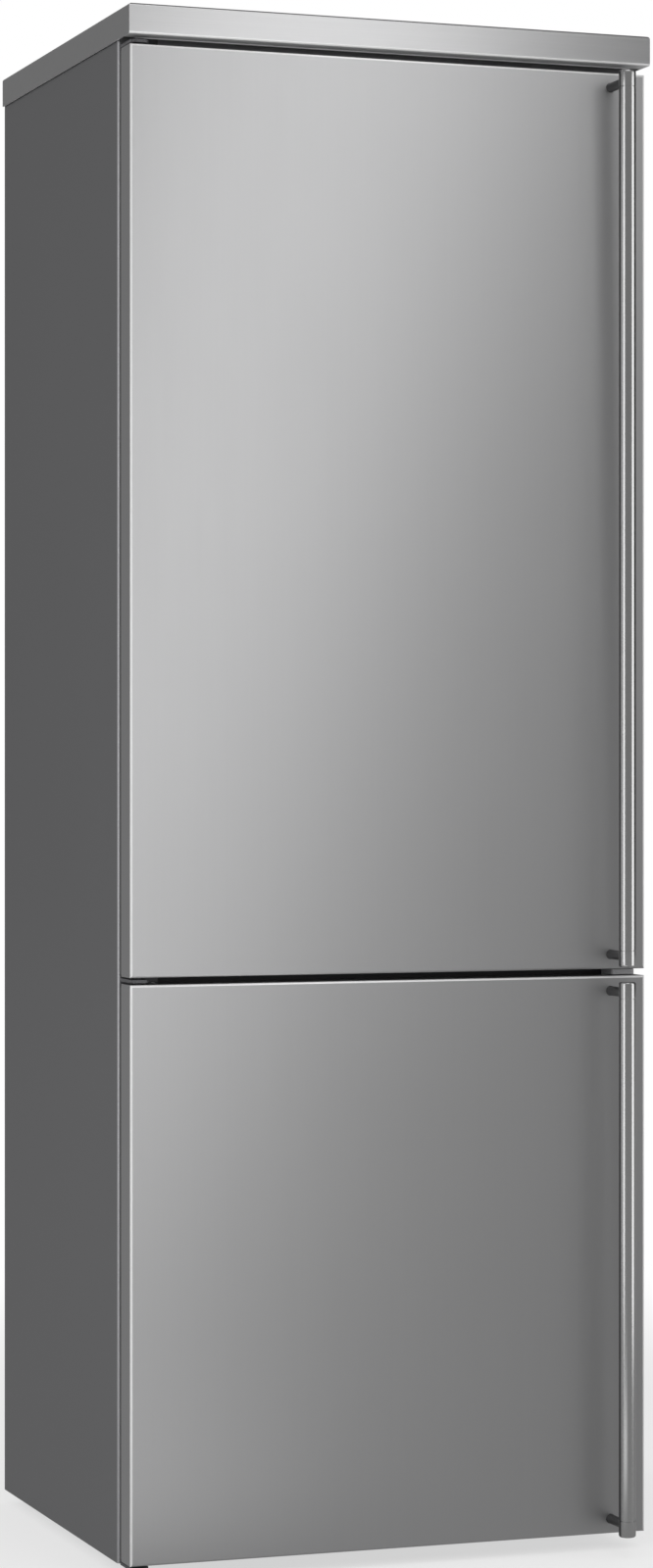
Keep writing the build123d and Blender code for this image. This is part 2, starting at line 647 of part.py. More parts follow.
def hinge_tab_span():
    """(left, right) of the tabs that the hinges are screwed on by."""
    return -RETURN_X, -DOOR_X + HINGE_RUNNING_GAP + HINGE_WIDTH


def hinge_tab(z):
    """The upright tab that a hinge is screwed to the cabinet's front by."""
    return block(hinge_tab_span(), (SEAL_Y - HINGE_TAB, SEAL_Y), z)


def hinge_leaf_spans():
    """(low, high) of the bottom, middle and top hinges' leaves."""
    bottom = LOWER_DOOR_Z[0] - HINGE_RUNNING_GAP
    middle = (LOWER_DOOR_Z[1] + UPPER_DOOR_Z[0]) / 2
    top = UPPER_DOOR_Z[1] + HINGE_RUNNING_GAP
    return [
        (bottom - HINGE_PLATE, bottom),
        (middle - HINGE_PLATE / 2, middle + HINGE_PLATE / 2),
        (top, top + HINGE_PLATE),
    ]


def hinge_tab_spans():
    """(low, high) of the bottom, middle and top hinges' tabs."""
    bottom, middle, top = hinge_leaf_spans()
    half = DOOR_GAP / 2 + SEAL_INSET - HINGE_RUNNING_GAP
    centre = (middle[0] + middle[1]) / 2
    return [
        (bottom[0], LOWER_DOOR_Z[0] + SEAL_INSET - HINGE_RUNNING_GAP),
        (centre - half, centre + half),
        (top[1], CAP_Z + CAP_HEIGHT / 2),
    ]


def hinge_screw_points():
    """(x, z) of every hinge screw: two in the outer tabs and four in the middle one."""
    left, right = hinge_tab_span()
    leaves = hinge_leaf_spans()
    tabs = hinge_tab_spans()
    heights = [
        (leaves[0][1] + tabs[0][1]) / 2,
        (tabs[1][0] + leaves[1][0]) / 2,
        (leaves[1][1] + tabs[1][1]) / 2,
        tabs[2][1] - 2 * SCREW_HEAD_RADIUS + SCREW_RADIUS,
    ]
    return [(left + share * (right - left), z) for z in heights for share in (0.25, 0.75)]


def hinge_screws():
    """The screws that hold the three hinges, with low round heads."""
    screws = []
    for x, z in hinge_screw_points():
        head_y = SEAL_Y - HINGE_TAB - SCREW_HEAD
        head = rod((x, head_y, z), "Y", SCREW_HEAD_RADIUS, SCREW_HEAD)
        head = chamfer(head.edges().filter_by(GeomType.CIRCLE).sort_by(Axis.Y)[0], SCREW_HEAD / 2)
        shank = rod((x, head_y + SCREW_HEAD, z), "Y", SCREW_RADIUS, SCREW_LENGTH)
        screws.append(head + shank)
    return Part() + screws


def top_hinge():
    """Upper hinge: a leaf over the fridge door with its pin down, and a tab up behind the cap."""
    leaf = hinge_leaf_spans()[2]
    length = HINGE_RUNNING_GAP + PIN_ENGAGEMENT
    pin = rod((PIVOT_X, PIVOT_Y, leaf[0] - length), "Z", PIN_RADIUS, length)
    return hinge_plate(leaf) + hinge_tab((leaf[0], hinge_tab_spans()[2][1])) + pin - hinge_screws()


def middle_hinge():
    """Middle hinge: one leaf between the doors with a pin up and a pin down."""
    leaf = hinge_leaf_spans()[1]
    reach = PIN_ENGAGEMENT + (DOOR_GAP - HINGE_PLATE) / 2
    length = 2 * reach + HINGE_PLATE
    pin = rod((PIVOT_X, PIVOT_Y, leaf[0] - reach), "Z", PIN_RADIUS, length)
    return hinge_plate(leaf) + hinge_tab(hinge_tab_spans()[1]) + pin - hinge_screws()


def bottom_hinge():
    """Lower hinge: a leaf under the freezer door with its pin up."""
    leaf = hinge_leaf_spans()[0]
    length = HINGE_RUNNING_GAP + PIN_ENGAGEMENT
    pin = rod((PIVOT_X, PIVOT_Y, leaf[1]), "Z", PIN_RADIUS, length)
    return hinge_plate(leaf) + hinge_tab(hinge_tab_spans()[0]) + pin - hinge_screws()


def hinge_hole_cover():
    """Grey plastic cover between the doors at the right, over the unused hinge holes."""
    middle = (LOWER_DOOR_Z[1] + UPPER_DOOR_Z[0]) / 2
    plate_z = (LOWER_DOOR_Z[1] + COVER_GAP, UPPER_DOOR_Z[0] - COVER_GAP)
    right = DOOR_X - COVER_SIDE_INSET
    left = right - COVER_WIDTH
    leaf = block((left, right), (SEAL_Y - COVER_REACH, SEAL_Y), plate_z)
    tab_half = DOOR_GAP / 2 + SEAL_INSET - HINGE_RUNNING_GAP
    foot = block(
        (left, RETURN_X), (SEAL_Y - HINGE_TAB, SEAL_Y), (middle - tab_half, middle + tab_half)
    )
    front = leaf.edges().filter_by(Axis.Z).group_by(Axis.Y)[0]
    return fillet(front, PIVOT_INSET / 4) + foot


# ---------------------------------------------------------------- doors


def door_block(z, inset, back_y):
    """A door's form with rounded front edges, moved in by inset on all sides but the back."""
    x = DOOR_X - inset
    body = block((-x, x), (DOOR_FRONT_Y + inset, back_y), (z[0] + inset, z[1] - inset))
    return fillet(body.faces().sort_by(Axis.Y)[0].edges(), DOOR_EDGE_RADIUS - inset)


def door_skin(z):
    """Folded stainless pan of a door: front, four sides and a return flange round the back."""
    inner_x = (-DOOR_X + SHEET, DOOR_X - SHEET)
    inner_z = (z[0] + SHEET, z[1] - SHEET)
    flange = ring(inner_x, inner_z, (DOOR_BACK_Y - SHEET, DOOR_BACK_Y), DOOR_RETURN)
    skin = door_block(z, 0, DOOR_BACK_Y) - door_block(z, SHEET, DOOR_BACK_Y) + flange
    for bush_z in (z[0], z[1] - SHEET):
        skin -= rod((PIVOT_X, PIVOT_Y, bush_z), "Z", BUSH_RADIUS, SHEET)
    return skin


def dike(compartment_x, z, depth, inset):
    """The raised part of a door liner, with every face moved in by inset."""
    x = compartment_x - DIKE_SIDE_GAP - inset
    low = z[0] + DIKE_SIDE_GAP + inset
    high = z[1] - DIKE_SIDE_GAP - inset
    body = block((-x, x), (DOOR_BACK_Y - LINER, DOOR_BACK_Y + depth - inset), (low, high))
    return long_edges(body, Axis.Y, DIKE_RADIUS - inset / 2)


def dike_recess(inset):
    """The hollow inside the fridge door's dike, where the balconies hang."""
    x = DIKE_INNER_X + inset
    low = FRIDGE_Z[0] + DIKE_SIDE_GAP + DIKE_WIDTH - inset
    high = FRIDGE_Z[1] - DIKE_SIDE_GAP - DIKE_WIDTH + inset
    y = (DIKE_FLOOR_Y - inset, DOOR_BACK_Y + FRIDGE_DIKE_DEPTH)
    return long_edges(block((-x, x), y, (low, high)), Axis.Y, DIKE_RADIUS + inset / 2)


def liner_plate(z):
    """Flat border of a door liner, inside the steel return flange."""
    border = SHEET + DOOR_RETURN
    return block(
        (-DOOR_X + border, DOOR_X - border),
        (DOOR_BACK_Y - LINER, DOOR_BACK_Y),
        (z[0] + border, z[1] - border),
    )


def fridge_dike_core():
    """Foam inside the fridge door's dike."""
    return dike(FRIDGE_X, FRIDGE_Z, FRIDGE_DIKE_DEPTH, LINER) - dike_recess(LINER)


def fridge_door_liner():
    """White door liner with a tall dike and ledges that the balconies hook over."""
    shape = dike(FRIDGE_X, FRIDGE_Z, FRIDGE_DIKE_DEPTH, 0) - dike_recess(0)
    shape = shape + liner_plate(UPPER_DOOR_Z) - fridge_dike_core()
    for base, height in balcony_spans():
        top = base + height - DRAWER_RIM_THICKNESS
        ledge = block(
            (-DIKE_INNER_X, -DIKE_INNER_X + LEDGE),
            (BALCONY_BACK_Y + LEDGE, BALCONY_BACK_Y + LEDGE + LEDGE_LENGTH),
            (top - LEDGE_HEIGHT, top),
        )
        shape += both_sides(ledge)
    return shape


def freezer_dike_core():
    """Foam inside the freezer door's dike."""
    return dike(FREEZER_X, FREEZER_Z, FREEZER_DIKE_DEPTH, LINER)


def freezer_door_liner():
    """White door liner of the freezer: a shallow raised pad."""
    pad = dike(FREEZER_X, FREEZER_Z, FREEZER_DIKE_DEPTH, 0)
    return pad + liner_plate(LOWER_DOOR_Z) - freezer_dike_core()


def door_foam(z, core):
    """Foam that fills a door between its steel pan and its liner."""
    foam = door_block(z, SHEET, DOOR_BACK_Y - LINER)
    foam += core
    for bush_z in (z[0], z[1] - BUSH_LENGTH):
        foam -= rod((PIVOT_X, PIVOT_Y, bush_z), "Z", BUSH_RADIUS, BUSH_LENGTH)
    return foam


def door_bushes(z):
    """Plastic hinge bushes in the top and bottom edges of a door."""
    bushes = []
    for low in (z[0], z[1] - BUSH_LENGTH):
        body = rod((PIVOT_X, PIVOT_Y, low), "Z", BUSH_RADIUS, BUSH_LENGTH)
        bore = rod((PIVOT_X, PIVOT_Y, low), "Z", PIN_RADIUS + PIN_CLEARANCE, BUSH_LENGTH)
        bushes.append(body - bore)
    return Part() + bushes


def door_seal(z):
    """Magnetic seal: a narrow base on the door liner and a wide soft lip towards the cabinet."""
    x = (-DOOR_X + SEAL_INSET, DOOR_X - SEAL_INSET)
    z = (z[0] + SEAL_INSET, z[1] - SEAL_INSET)
    step = (SEAL_WIDTH - SEAL_BASE_WIDTH) / 2
    base_x = (x[0] + step, x[1] - step)
    base_z = (z[0] + step, z[1] - step)
    lip_y = DOOR_BACK_Y + SEAL_BASE_DEPTH
    base = ring(base_x, base_z, (DOOR_BACK_Y, lip_y), SEAL_BASE_WIDTH)
    outer = block(x, (lip_y, SEAL_Y - SEAL_CLEARANCE), z)
    outer = long_edges(outer, Axis.Y, SEAL_WIDTH / 4)
    inner_x = (x[0] + SEAL_WIDTH, x[1] - SEAL_WIDTH)
    inner_z = (z[0] + SEAL_WIDTH, z[1] - SEAL_WIDTH)
    return base + outer - block(inner_x, (lip_y, SEAL_Y), inner_z)


# ---------------------------------------------------------------- handles


def handle_ends(z):
    """(lower end, upper end) of a door's handle."""
    return z[0] + HANDLE_END_INSET, z[1] - HANDLE_END_INSET


def handle_bar(z):
    """Round steel tube between a handle's two end caps."""
    low, high = handle_ends(z)
    low += HANDLE_CAP_LENGTH
    length = high - HANDLE_CAP_LENGTH - low
    tube = rod((HANDLE_X, HANDLE_Y, low), "Z", HANDLE_RADIUS, length)
    return tube - rod((HANDLE_X, HANDLE_Y, low), "Z", HANDLE_RADIUS - HANDLE_TUBE_WALL, length)


def handle_end(tip_z, direction):
    """One end cap with its post to the door; direction is 1 for the upper end."""
    low = min(tip_z, tip_z - direction * HANDLE_CAP_LENGTH)
    cap = rod((HANDLE_X, HANDLE_Y, low), "Z", HANDLE_RADIUS, HANDLE_CAP_LENGTH)
    tip = cap.edges().filter_by(GeomType.CIRCLE).sort_by(Axis.Z)
    cap = fillet(tip[-1] if direction > 0 else tip[0], HANDLE_END_RADIUS)
    post_z = tip_z - direction * HANDLE_POST_DROP
    post = rod((HANDLE_X, HANDLE_Y, post_z), "Y", HANDLE_POST_RADIUS, HANDLE_STANDOFF)
    return cap + post


def handle_mounts(z):
    """Both end caps of a handle, with their posts."""
    low, high = handle_ends(z)
    return Part() + [handle_end(low, -1), handle_end(high, 1)]


# ---------------------------------------------------------------- balconies


def balcony_spans():
    """(underside, height) of the bottle, middle and dairy balconies."""
    bottle = FRIDGE_Z[0] + BOTTLE_RISE
    dairy = FRIDGE_Z[1] - DAIRY_DROP
    return [
        (bottle, BOTTLE_HEIGHT),
        ((bottle + dairy) / 2, BALCONY_HEIGHT),
        (dairy, DAIRY_HEIGHT),
    ]


def balcony(base, height):
    """Clear moulded trough with side flanges that hook over the door liner's ledges."""
    top = base + height
    taper = BALCONY_DEPTH * BALCONY_TAPER
    outer = side_profile(
        [
            (BALCONY_BACK_Y, base),
            (BALCONY_FRONT_Y - taper, base),
            (BALCONY_FRONT_Y, top),
            (BALCONY_BACK_Y, top),
        ],
        BALCONY_X,
    )
    low_front = outer.edges().filter_by(Axis.X).group_by(Axis.Z)[0].sort_by(Axis.Y)[-1]
    outer = fillet(low_front, BALCONY_DEPTH / 5)
    wall = BALCONY_WALL
    inner = side_profile(
        [
            (BALCONY_BACK_Y + wall, base + wall),
            (BALCONY_FRONT_Y - taper - wall, base + wall),
            (BALCONY_FRONT_Y - wall, top),
            (BALCONY_BACK_Y + wall, top),
        ],
        BALCONY_X - wall,
    )
    low_front = inner.edges().filter_by(Axis.X).group_by(Axis.Z)[0].sort_by(Axis.Y)[-1]
    inner = fillet(low_front, BALCONY_DEPTH / 5 - wall)
    flange_x = BALCONY_X + LEDGE
    flange_y = (BALCONY_BACK_Y, BALCONY_BACK_Y + 2 * LEDGE + LEDGE_LENGTH)
    flange = block((-flange_x, -BALCONY_X), flange_y, (top - DRAWER_RIM_THICKNESS, top))
    lip_y = (flange_y[1] - LEDGE + SLIDE_CLEARANCE, flange_y[1])
    lip_z = (top - DRAWER_RIM_THICKNESS - LEDGE_HEIGHT, top)
    lip = block((-flange_x, -BALCONY_X), lip_y, lip_z)
    return outer - inner + both_sides(flange + lip)


def lid_pivot():
    """(y, z) of the dairy lid's pins."""
    base, height = balcony_spans()[2]
    return BALCONY_BACK_Y + LEDGE, base + height + 2 * LID_PIN_RADIUS


def dairy_balcony():
    """The top balcony, with an ear at each end that holds a lid pin."""
    y, z = lid_pivot()
    base, height = balcony_spans()[2]
    shape = balcony(base, height)
    ear = block(
        (-BALCONY_X, -BALCONY_X + BALCONY_WALL),
        (BALCONY_BACK_Y, y + LEDGE),
        (base + height, z + 2 * LID_PIN_RADIUS),
    )
    hole = rod((-BALCONY_X, y, z), "X", LID_PIN_RADIUS + PIN_CLEARANCE, BALCONY_WALL)
    return shape + both_sides(ear - hole)


def dairy_lid():
    """Clear lid of the dairy balcony: a plate with a front lip and a pin at each end."""
    y, z = lid_pivot()
    base, height = balcony_spans()[2]
    top = base + height
    x = BALCONY_X - BALCONY_WALL - LID_GAP
    outer_y = BALCONY_FRONT_Y + LID_GAP + LID_THICKNESS
    plate_z = (top + LID_GAP, top + LID_GAP + LID_THICKNESS)
    plate = block((-x, x), (y, outer_y), plate_z)
    lip = block((-x, x), (outer_y - LID_THICKNESS, outer_y), (top - LID_LIP, plate_z[1]))
    barrel = rod((-x, y, z), "X", LID_PIN_RADIUS + LID_THICKNESS / 2, 2 * x)
    web = block((-x, x), (y - LID_THICKNESS / 2, y + LID_THICKNESS / 2), (plate_z[0], z))
    pin = rod((-BALCONY_X, y, z), "X", LID_PIN_RADIUS, 2 * BALCONY_X)
    lid = plate + lip + barrel + web + pin
    outer_edge = lid.edges().filter_by(Axis.X).group_by(Axis.Y)[-1].sort_by(Axis.Z)[-1]
    return fillet(outer_edge, LID_THICKNESS * 2 / 3)


def bottle_stop():
    """Sliding stop on the bottle balcony: a clip over the front wall with a finger behind it."""
    base, height = balcony_spans()[0]
    top = base + height
    slope = BALCONY_TAPER * BALCONY_DEPTH / height
    gap, wall = SLIDE_CLEARANCE, BALCONY_WALL
    outer = BALCONY_FRONT_Y + gap
    inner = BALCONY_FRONT_Y - wall - gap
    drop = slope * STOP_CLIP
    clip = side_profile(
        [
            (outer + wall, top + gap + wall),
            (outer + wall - drop, top - STOP_CLIP),
            (outer - drop, top - STOP_CLIP),
            (outer, top + gap),
            (inner, top + gap),
            (inner - drop, top - STOP_CLIP),
            (inner - drop - wall, top - STOP_CLIP),
            (inner - wall, top + gap + wall),
        ],
        STOP_LENGTH / 2,
    )
    finger_y = (inner - wall - STOP_REACH, inner - wall)
    finger = block((-wall / 2, wall / 2), finger_y, (top + gap + wall - STOP_HEIGHT, top + gap + wall))
    tip = finger.edges().filter_by(Axis.X).group_by(Axis.Y)[0]
    return clip + fillet(tip, STOP_HEIGHT / 3)


# ---------------------------------------------------------------- drawers


def fridge_drawer_spans():
    """(underside, top) of the vegetable drawer and the chill drawer."""
    floor = FRIDGE_Z[0] + DRAWER_BOTTOM_GAP
    return [
        (floor, SHELF_Z[0] - DRAWER_TOP_GAP),
        (SHELF_Z[0] + SHELF_GLASS + DRAWER_BOTTOM_GAP, SHELF_Z[1] - DRAWER_TOP_GAP),
    ]


def freezer_drawer_spans():
    """(underside, top) of the lower, middle and upper freezer drawers."""
    low, high = FREEZER_SHELF_Z
    return [
        (FREEZER_Z[0] + DRAWER_BOTTOM_GAP, low - DRAWER_TOP_GAP),
        (max(low + SHELF_GLASS, STEP_TOP_Z) + DRAWER_BOTTOM_GAP, high - DRAWER_TOP_GAP),
        (high + SHELF_GLASS + DRAWER_BOTTOM_GAP, FREEZER_Z[1] - DRAWER_TOP_GAP),
    ]


def drawer_rim_z(span):
    """Underside of a drawer's side rims, which slide on the liner's ribs."""
    return span[1] - RIB_HEIGHT - DRAWER_RIM_THICKNESS


def drafted_bin(y, z, bottom_x, top_x, radius):
    """A solid bin with leaning sides and rounded lower corners, from y[0] to y[1]."""
    outline = Polyline((-bottom_x, z[0]), (bottom_x, z[0]), (top_x, z[1]), (-top_x, z[1]), close=True)
    face = make_face(outline)
    face = fillet(face.vertices().group_by(Axis.Y)[0], radius)
    plane = Plane(origin=(0, y[1], 0), x_dir=(1, 0, 0), z_dir=(0, -1, 0))
    return extrude(plane * face, y[1] - y[0])


def drawer(wall_x, y, span):
    """Clear moulded drawer: a drafted bin, side rims and a taller front with a finger grip."""
    rim_x = wall_x - DRAWER_SIDE_GAP
    bin_x = rim_x - DRAWER_RIM
    rim_z = drawer_rim_z(span)
    rim_top = rim_z + DRAWER_RIM_THICKNESS
    y_bin = (y[0] + DRAWER_FRONT, y[1])
    bottom_x = bin_x - DRAWER_DRAFT
    shell = drafted_bin(y_bin, (span[0], rim_top), bottom_x, bin_x, DRAWER_RADIUS)
    wall = DRAWER_WALL
    shell -= drafted_bin(
        (y_bin[0], y_bin[1] - wall),
        (span[0] + wall, rim_top),
        bottom_x - wall,
        bin_x - wall,
        DRAWER_RADIUS - wall,
    )
    rim = block((-rim_x, -bin_x + wall / 2), y_bin, (rim_z, rim_top))
    front = long_edges(block((-rim_x, rim_x), (y[0], y_bin[0]), span), Axis.Y, DRAWER_RADIUS / 2)
    grip_x = (-GRIP_WIDTH / 2, GRIP_WIDTH / 2)
    grip_y = y[0] - GRIP_DEPTH
    ledge = block(grip_x, (grip_y, y[0]), (rim_top - wall, rim_top))
    lip = block(grip_x, (grip_y, grip_y + wall), (rim_top - GRIP_HEIGHT, rim_top))
    return shell + both_sides(rim) + front + ledge + lip


def fridge_drawer(index):
    """Vegetable drawer (0) or chill drawer (1)."""
    y = (SHELF_FRONT_Y, CAVITY_BACK_Y - DRAWER_BACK_GAP - DUCT_DEPTH)
    return drawer(FRIDGE_X, y, fridge_drawer_spans()[index])


def freezer_drawer(index):
    """Lower (0), middle (1) or upper (2) freezer drawer; the lower one is short."""
    back = STEP_FRONT_Y if index == 0 else COVER_Y
    y = (FREEZER_DRAWER_Y, back - DRAWER_BACK_GAP)
    return drawer(FREEZER_X, y, freezer_drawer_spans()[index])


# ---------------------------------------------------------------- fridge interior


def glass_shelves():
    """Five fridge shelves and two freezer shelves of toughened glass, lying on the ribs."""
    shelves = []
    for z in SHELF_Z:
        y = (SHELF_FRONT_Y + TRIM_DEPTH / 2, SHELF_BACK_Y)
        shelves.append(block((-SHELF_X, SHELF_X), y, (z, z + SHELF_GLASS)))
    for z in FREEZER_SHELF_Z:
        y = (FREEZER_DRAWER_Y + TRIM_DEPTH / 2, COVER_Y - COVER_SHEET)
        x = FREEZER_SHELF_X
        shelves.append(block((-x, x), y, (z, z + SHELF_GLASS)))
    return Part() + shelves


def shelf_trim(x, y, z):
    """Front edging of one shelf: a strip grooved for the glass and notched round the ribs."""
    middle = z + SHELF_GLASS / 2
    strip = block((-x, x), (y, y + TRIM_DEPTH), (middle - TRIM_HEIGHT / 2, middle + TRIM_HEIGHT / 2))
    front = strip.edges().filter_by(Axis.X).group_by(Axis.Y)[0]
    strip = fillet(front, TRIM_DEPTH / 3)
    groove = block((-x, x), (y + TRIM_DEPTH / 2, y + TRIM_DEPTH), (z, z + SHELF_GLASS))
    notch_x = x + SHELF_SIDE_GAP - RIB_WIDTH - SLIDE_CLEARANCE
    notch = block((-x, -notch_x), (y, y + TRIM_DEPTH), (middle - TRIM_HEIGHT / 2, z))
    return strip - groove - both_sides(notch)


def shelf_trims():
    """Front edgings of all the glass shelves."""
    trims = [shelf_trim(SHELF_X, SHELF_FRONT_Y, z) for z in SHELF_Z]
    trims += [shelf_trim(FREEZER_SHELF_X, FREEZER_DRAWER_Y, z) for z in FREEZER_SHELF_Z]
    return Part() + trims


def slot_through(x, y, z, length, height):
    """A horizontal slot's outline in a wall that faces the front, round the point (x, y, z)."""
    wall = Plane(origin=(x, y, z), x_dir=(1, 0, 0), z_dir=(0, 1, 0))
    return wall * SlotOverall(length, height)


def grille_slots(x, y, z, depth):
    """Horizontal slots that fill a circle round (x, z), cut from y through depth."""
    count = int(2 * GRILLE_RADIUS / GRILLE_PITCH)
    slots = []
    for index in range(count):
        height = (index - (count - 1) / 2) * GRILLE_PITCH
        half = (GRILLE_RADIUS**2 - height**2) ** 0.5
        slots.append(extrude(slot_through(x, y, z + height, 2 * half, GRILLE_SLOT), depth))
    return slots


def duct_span():
    """(bottom, top) of the fridge's air duct."""
    return SHELF_Z[1] + SHELF_GLASS + DUCT_BOTTOM_GAP, FRIDGE_Z[1] - DUCT_TOP_GAP


def fridge_fan_z():
    """Height of the fridge fan's axis."""
    return duct_span()[1] - DUCT_FAN_DROP


def fridge_duct():
    """Tall moulded air duct on the fridge's back wall, with a round grille and side vents."""
    bottom, top = duct_span()
    x = DUCT_WIDTH / 2
    outer = block((-x, x), (DUCT_FRONT_Y, CAVITY_BACK_Y), (bottom, top))
    outer = fillet(outer.edges().filter_by(Axis.Z).group_by(Axis.Y)[0], DUCT_DEPTH / 3)
    hollow = block(
        (-x + DUCT_WALL, x - DUCT_WALL),
        (DUCT_FRONT_Y + DUCT_WALL, CAVITY_BACK_Y),
        (bottom + DUCT_WALL, top - DUCT_WALL),
    )
    hollow = fillet(hollow.edges().filter_by(Axis.Z).group_by(Axis.Y)[0], DUCT_DEPTH / 3 - DUCT_WALL)
    duct = outer - hollow
    duct -= grille_slots(0, DUCT_FRONT_Y, fridge_fan_z(), DUCT_WALL)
    for z in SHELF_Z[1:-1]:
        vent = slot_through(0, DUCT_FRONT_Y, z + SHELF_GLASS + VENT_RISE, DUCT_WIDTH / 2, 2 * GRILLE_SLOT)
        duct -= extrude(vent, DUCT_WALL)
    return duct


def panel_face():
    """The plane of the control panel's sloping face, facing down and out."""
    y = SEAL_Y + CONTROL_SETBACK + CONTROL_HEIGHT / 2
    z = FRIDGE_Z[1] - CONTROL_HEIGHT / 2
    return Plane(origin=(0, y, z), x_dir=(1, 0, 0), z_dir=(0, -1, -1))


def control_panel():
    """Control panel under the fridge's ceiling: a housing with two buttons in its sloping face."""
    y = SEAL_Y + CONTROL_SETBACK
    top = FRIDGE_Z[1]
    wall = DRAWER_WALL
    outline = [
        (y, top),
        (y + CONTROL_HEIGHT, top - CONTROL_HEIGHT),
        (y + CONTROL_DEPTH, top - CONTROL_HEIGHT),
        (y + CONTROL_DEPTH, top),
    ]
    inner = [
        (y + wall * 2**0.5, top),
        (y + CONTROL_HEIGHT + wall * (2**0.5 - 1), top - CONTROL_HEIGHT + wall),
        (y + CONTROL_DEPTH - wall, top - CONTROL_HEIGHT + wall),
        (y + CONTROL_DEPTH - wall, top),
    ]
    housing = side_profile(outline, CONTROL_WIDTH / 2) - side_profile(inner, CONTROL_WIDTH / 2 - wall)
    for x in BUTTON_X:
        hole = RectangleRounded(
            BUTTON_WIDTH + 2 * SLIDE_CLEARANCE, BUTTON_DEPTH + 2 * SLIDE_CLEARANCE, BUTTON_DEPTH / 4
        )
        housing -= extrude(panel_face() * Pos(x, 0) * hole, wall, both=True)
    return housing


def button(x):
    """A push button: a rounded cap through the panel with a flange that keeps it in."""
    plane = panel_face() * Pos(x, 0)
    behind = DRAWER_WALL + SLIDE_CLEARANCE
    cap = extrude(
        plane * Pos(0, 0, -behind) * RectangleRounded(BUTTON_WIDTH, BUTTON_DEPTH, BUTTON_DEPTH / 4),
        behind + BUTTON_PROUD,
    )
    flange = RectangleRounded(
        BUTTON_WIDTH + 2 * BUTTON_FLANGE, BUTTON_DEPTH + 2 * BUTTON_FLANGE, BUTTON_DEPTH / 4
    )
    return cap + extrude(plane * Pos(0, 0, -behind - BUTTON_FLANGE) * flange, BUTTON_FLANGE)


def led_strips():
    """Two light covers on the fridge's side walls."""
    y = SEAL_Y + LED_SETBACK
    z = (SHELF_Z[1] + LED_RISE, FRIDGE_Z[1] - LED_TOP_GAP)
    strip = block((-FRIDGE_X, -FRIDGE_X + LED_DEPTH), (y, y + LED_WIDTH), z)
    edges = strip.edges().filter_by(Axis.Z).group_by(Axis.X)[-1]
    return both_sides(fillet(edges, LED_DEPTH * 0.6))


# ---------------------------------------------------------------- freezer interior


def freezer_fan_z():
    """Height of the freezer fan's axis."""
    return FREEZER_Z[1] - FAN_RADIUS - FAN_HUB_RADIUS


def freezer_duct():
    """Cover over the evaporator: a plate with side returns, a fan grille and return slots."""
    z = (STEP_TOP_Z, FREEZER_Z[1])
    plate = block((-FREEZER_X, FREEZER_X), (COVER_Y - COVER_SHEET, COVER_Y), z)
    plate -= grille_slots(0, COVER_Y - COVER_SHEET, freezer_fan_z(), COVER_SHEET)
    leg = block(
        (-FREEZER_X, -FREEZER_X + COVER_SHEET),
        (COVER_Y, CAVITY_BACK_Y),
        (z[0], z[1] - CAVITY_RADIUS),
    )
    trimmed = plate + both_sides(leg)
    slots = []
    for index in range(RETURN_SLOTS):
        x = (index - (RETURN_SLOTS - 1) / 2) * RETURN_PITCH
        outline = slot_through(x, COVER_Y - COVER_SHEET, z[0] + RETURN_RISE, RETURN_LENGTH, GRILLE_SLOT)
        slots.append(extrude(outline, COVER_SHEET))
    return (trimmed - slots) & freezer_cavity(0)


def evaporator():
    """Finned evaporator: upright fins on a bank of level tubes."""
    z0 = STEP_TOP_Z + EVAPORATOR_RISE
    y1 = CAVITY_BACK_Y
    y0 = y1 - EVAPORATOR_DEPTH
    half = FREEZER_X - EVAPORATOR_SIDE_GAP
    pitch = (2 * half - FIN_THICKNESS) / (EVAPORATOR_FINS - 1)
    fins = []
    for index in range(EVAPORATOR_FINS):
        x = -half + index * pitch
        fins.append(block((x, x + FIN_THICKNESS), (y0, y1), (z0, z0 + EVAPORATOR_HEIGHT)))
    tubes = []
    middle = (y0 + y1) / 2
    reach = half + 2 * PIPE_RADIUS
    for row in range(EVAPORATOR_TUBES):
        z = z0 + (row + 0.5) * EVAPORATOR_HEIGHT / EVAPORATOR_TUBES
        tube_y = (middle - PIPE_RADIUS, middle + PIPE_RADIUS)
        tubes.append(block((-reach, reach), tube_y, (z - PIPE_RADIUS, z + PIPE_RADIUS)))
    return Part() + (fins + tubes)


# ---------------------------------------------------------------- fans


def fan(axis_z, back_y):
    """Axial fan: a hub with a blind bore and swept blades, its back face at back_y."""
    front_y = back_y - FAN_DEPTH
    hub = rod((0, front_y, axis_z), "Y", FAN_HUB_RADIUS, FAN_DEPTH)
    hub = fillet(hub.edges().filter_by(GeomType.CIRCLE).sort_by(Axis.Y)[0], FAN_DEPTH / 4)
    bore_depth = FAN_DEPTH * 0.7
    bore = rod(
        (0, back_y - bore_depth, axis_z), "Y", FAN_SHAFT_RADIUS + FAN_SHAFT_CLEARANCE, bore_depth
    )
    middle_y = (front_y + back_y) / 2

    def section(radius, chord, pitch):
        plane = Plane(origin=(radius, middle_y, axis_z), x_dir=(0, 0, 1), z_dir=(1, 0, 0))
        return plane * Rot(Z=pitch) * Rectangle(chord, FAN_BLADE_THICKNESS)

    root = section(FAN_HUB_RADIUS * 0.8, FAN_HUB_RADIUS * 1.2, FAN_ROOT_PITCH)
    tip = section(FAN_RADIUS, FAN_RADIUS * 0.62, FAN_TIP_PITCH)
    blade = loft([root, tip], ruled=True)
    centre = Axis((0, 0, axis_z), (0, 1, 0))
    blades = [blade.rotate(centre, index * 360 / FAN_BLADES) for index in range(FAN_BLADES)]
    return hub + blades - bore


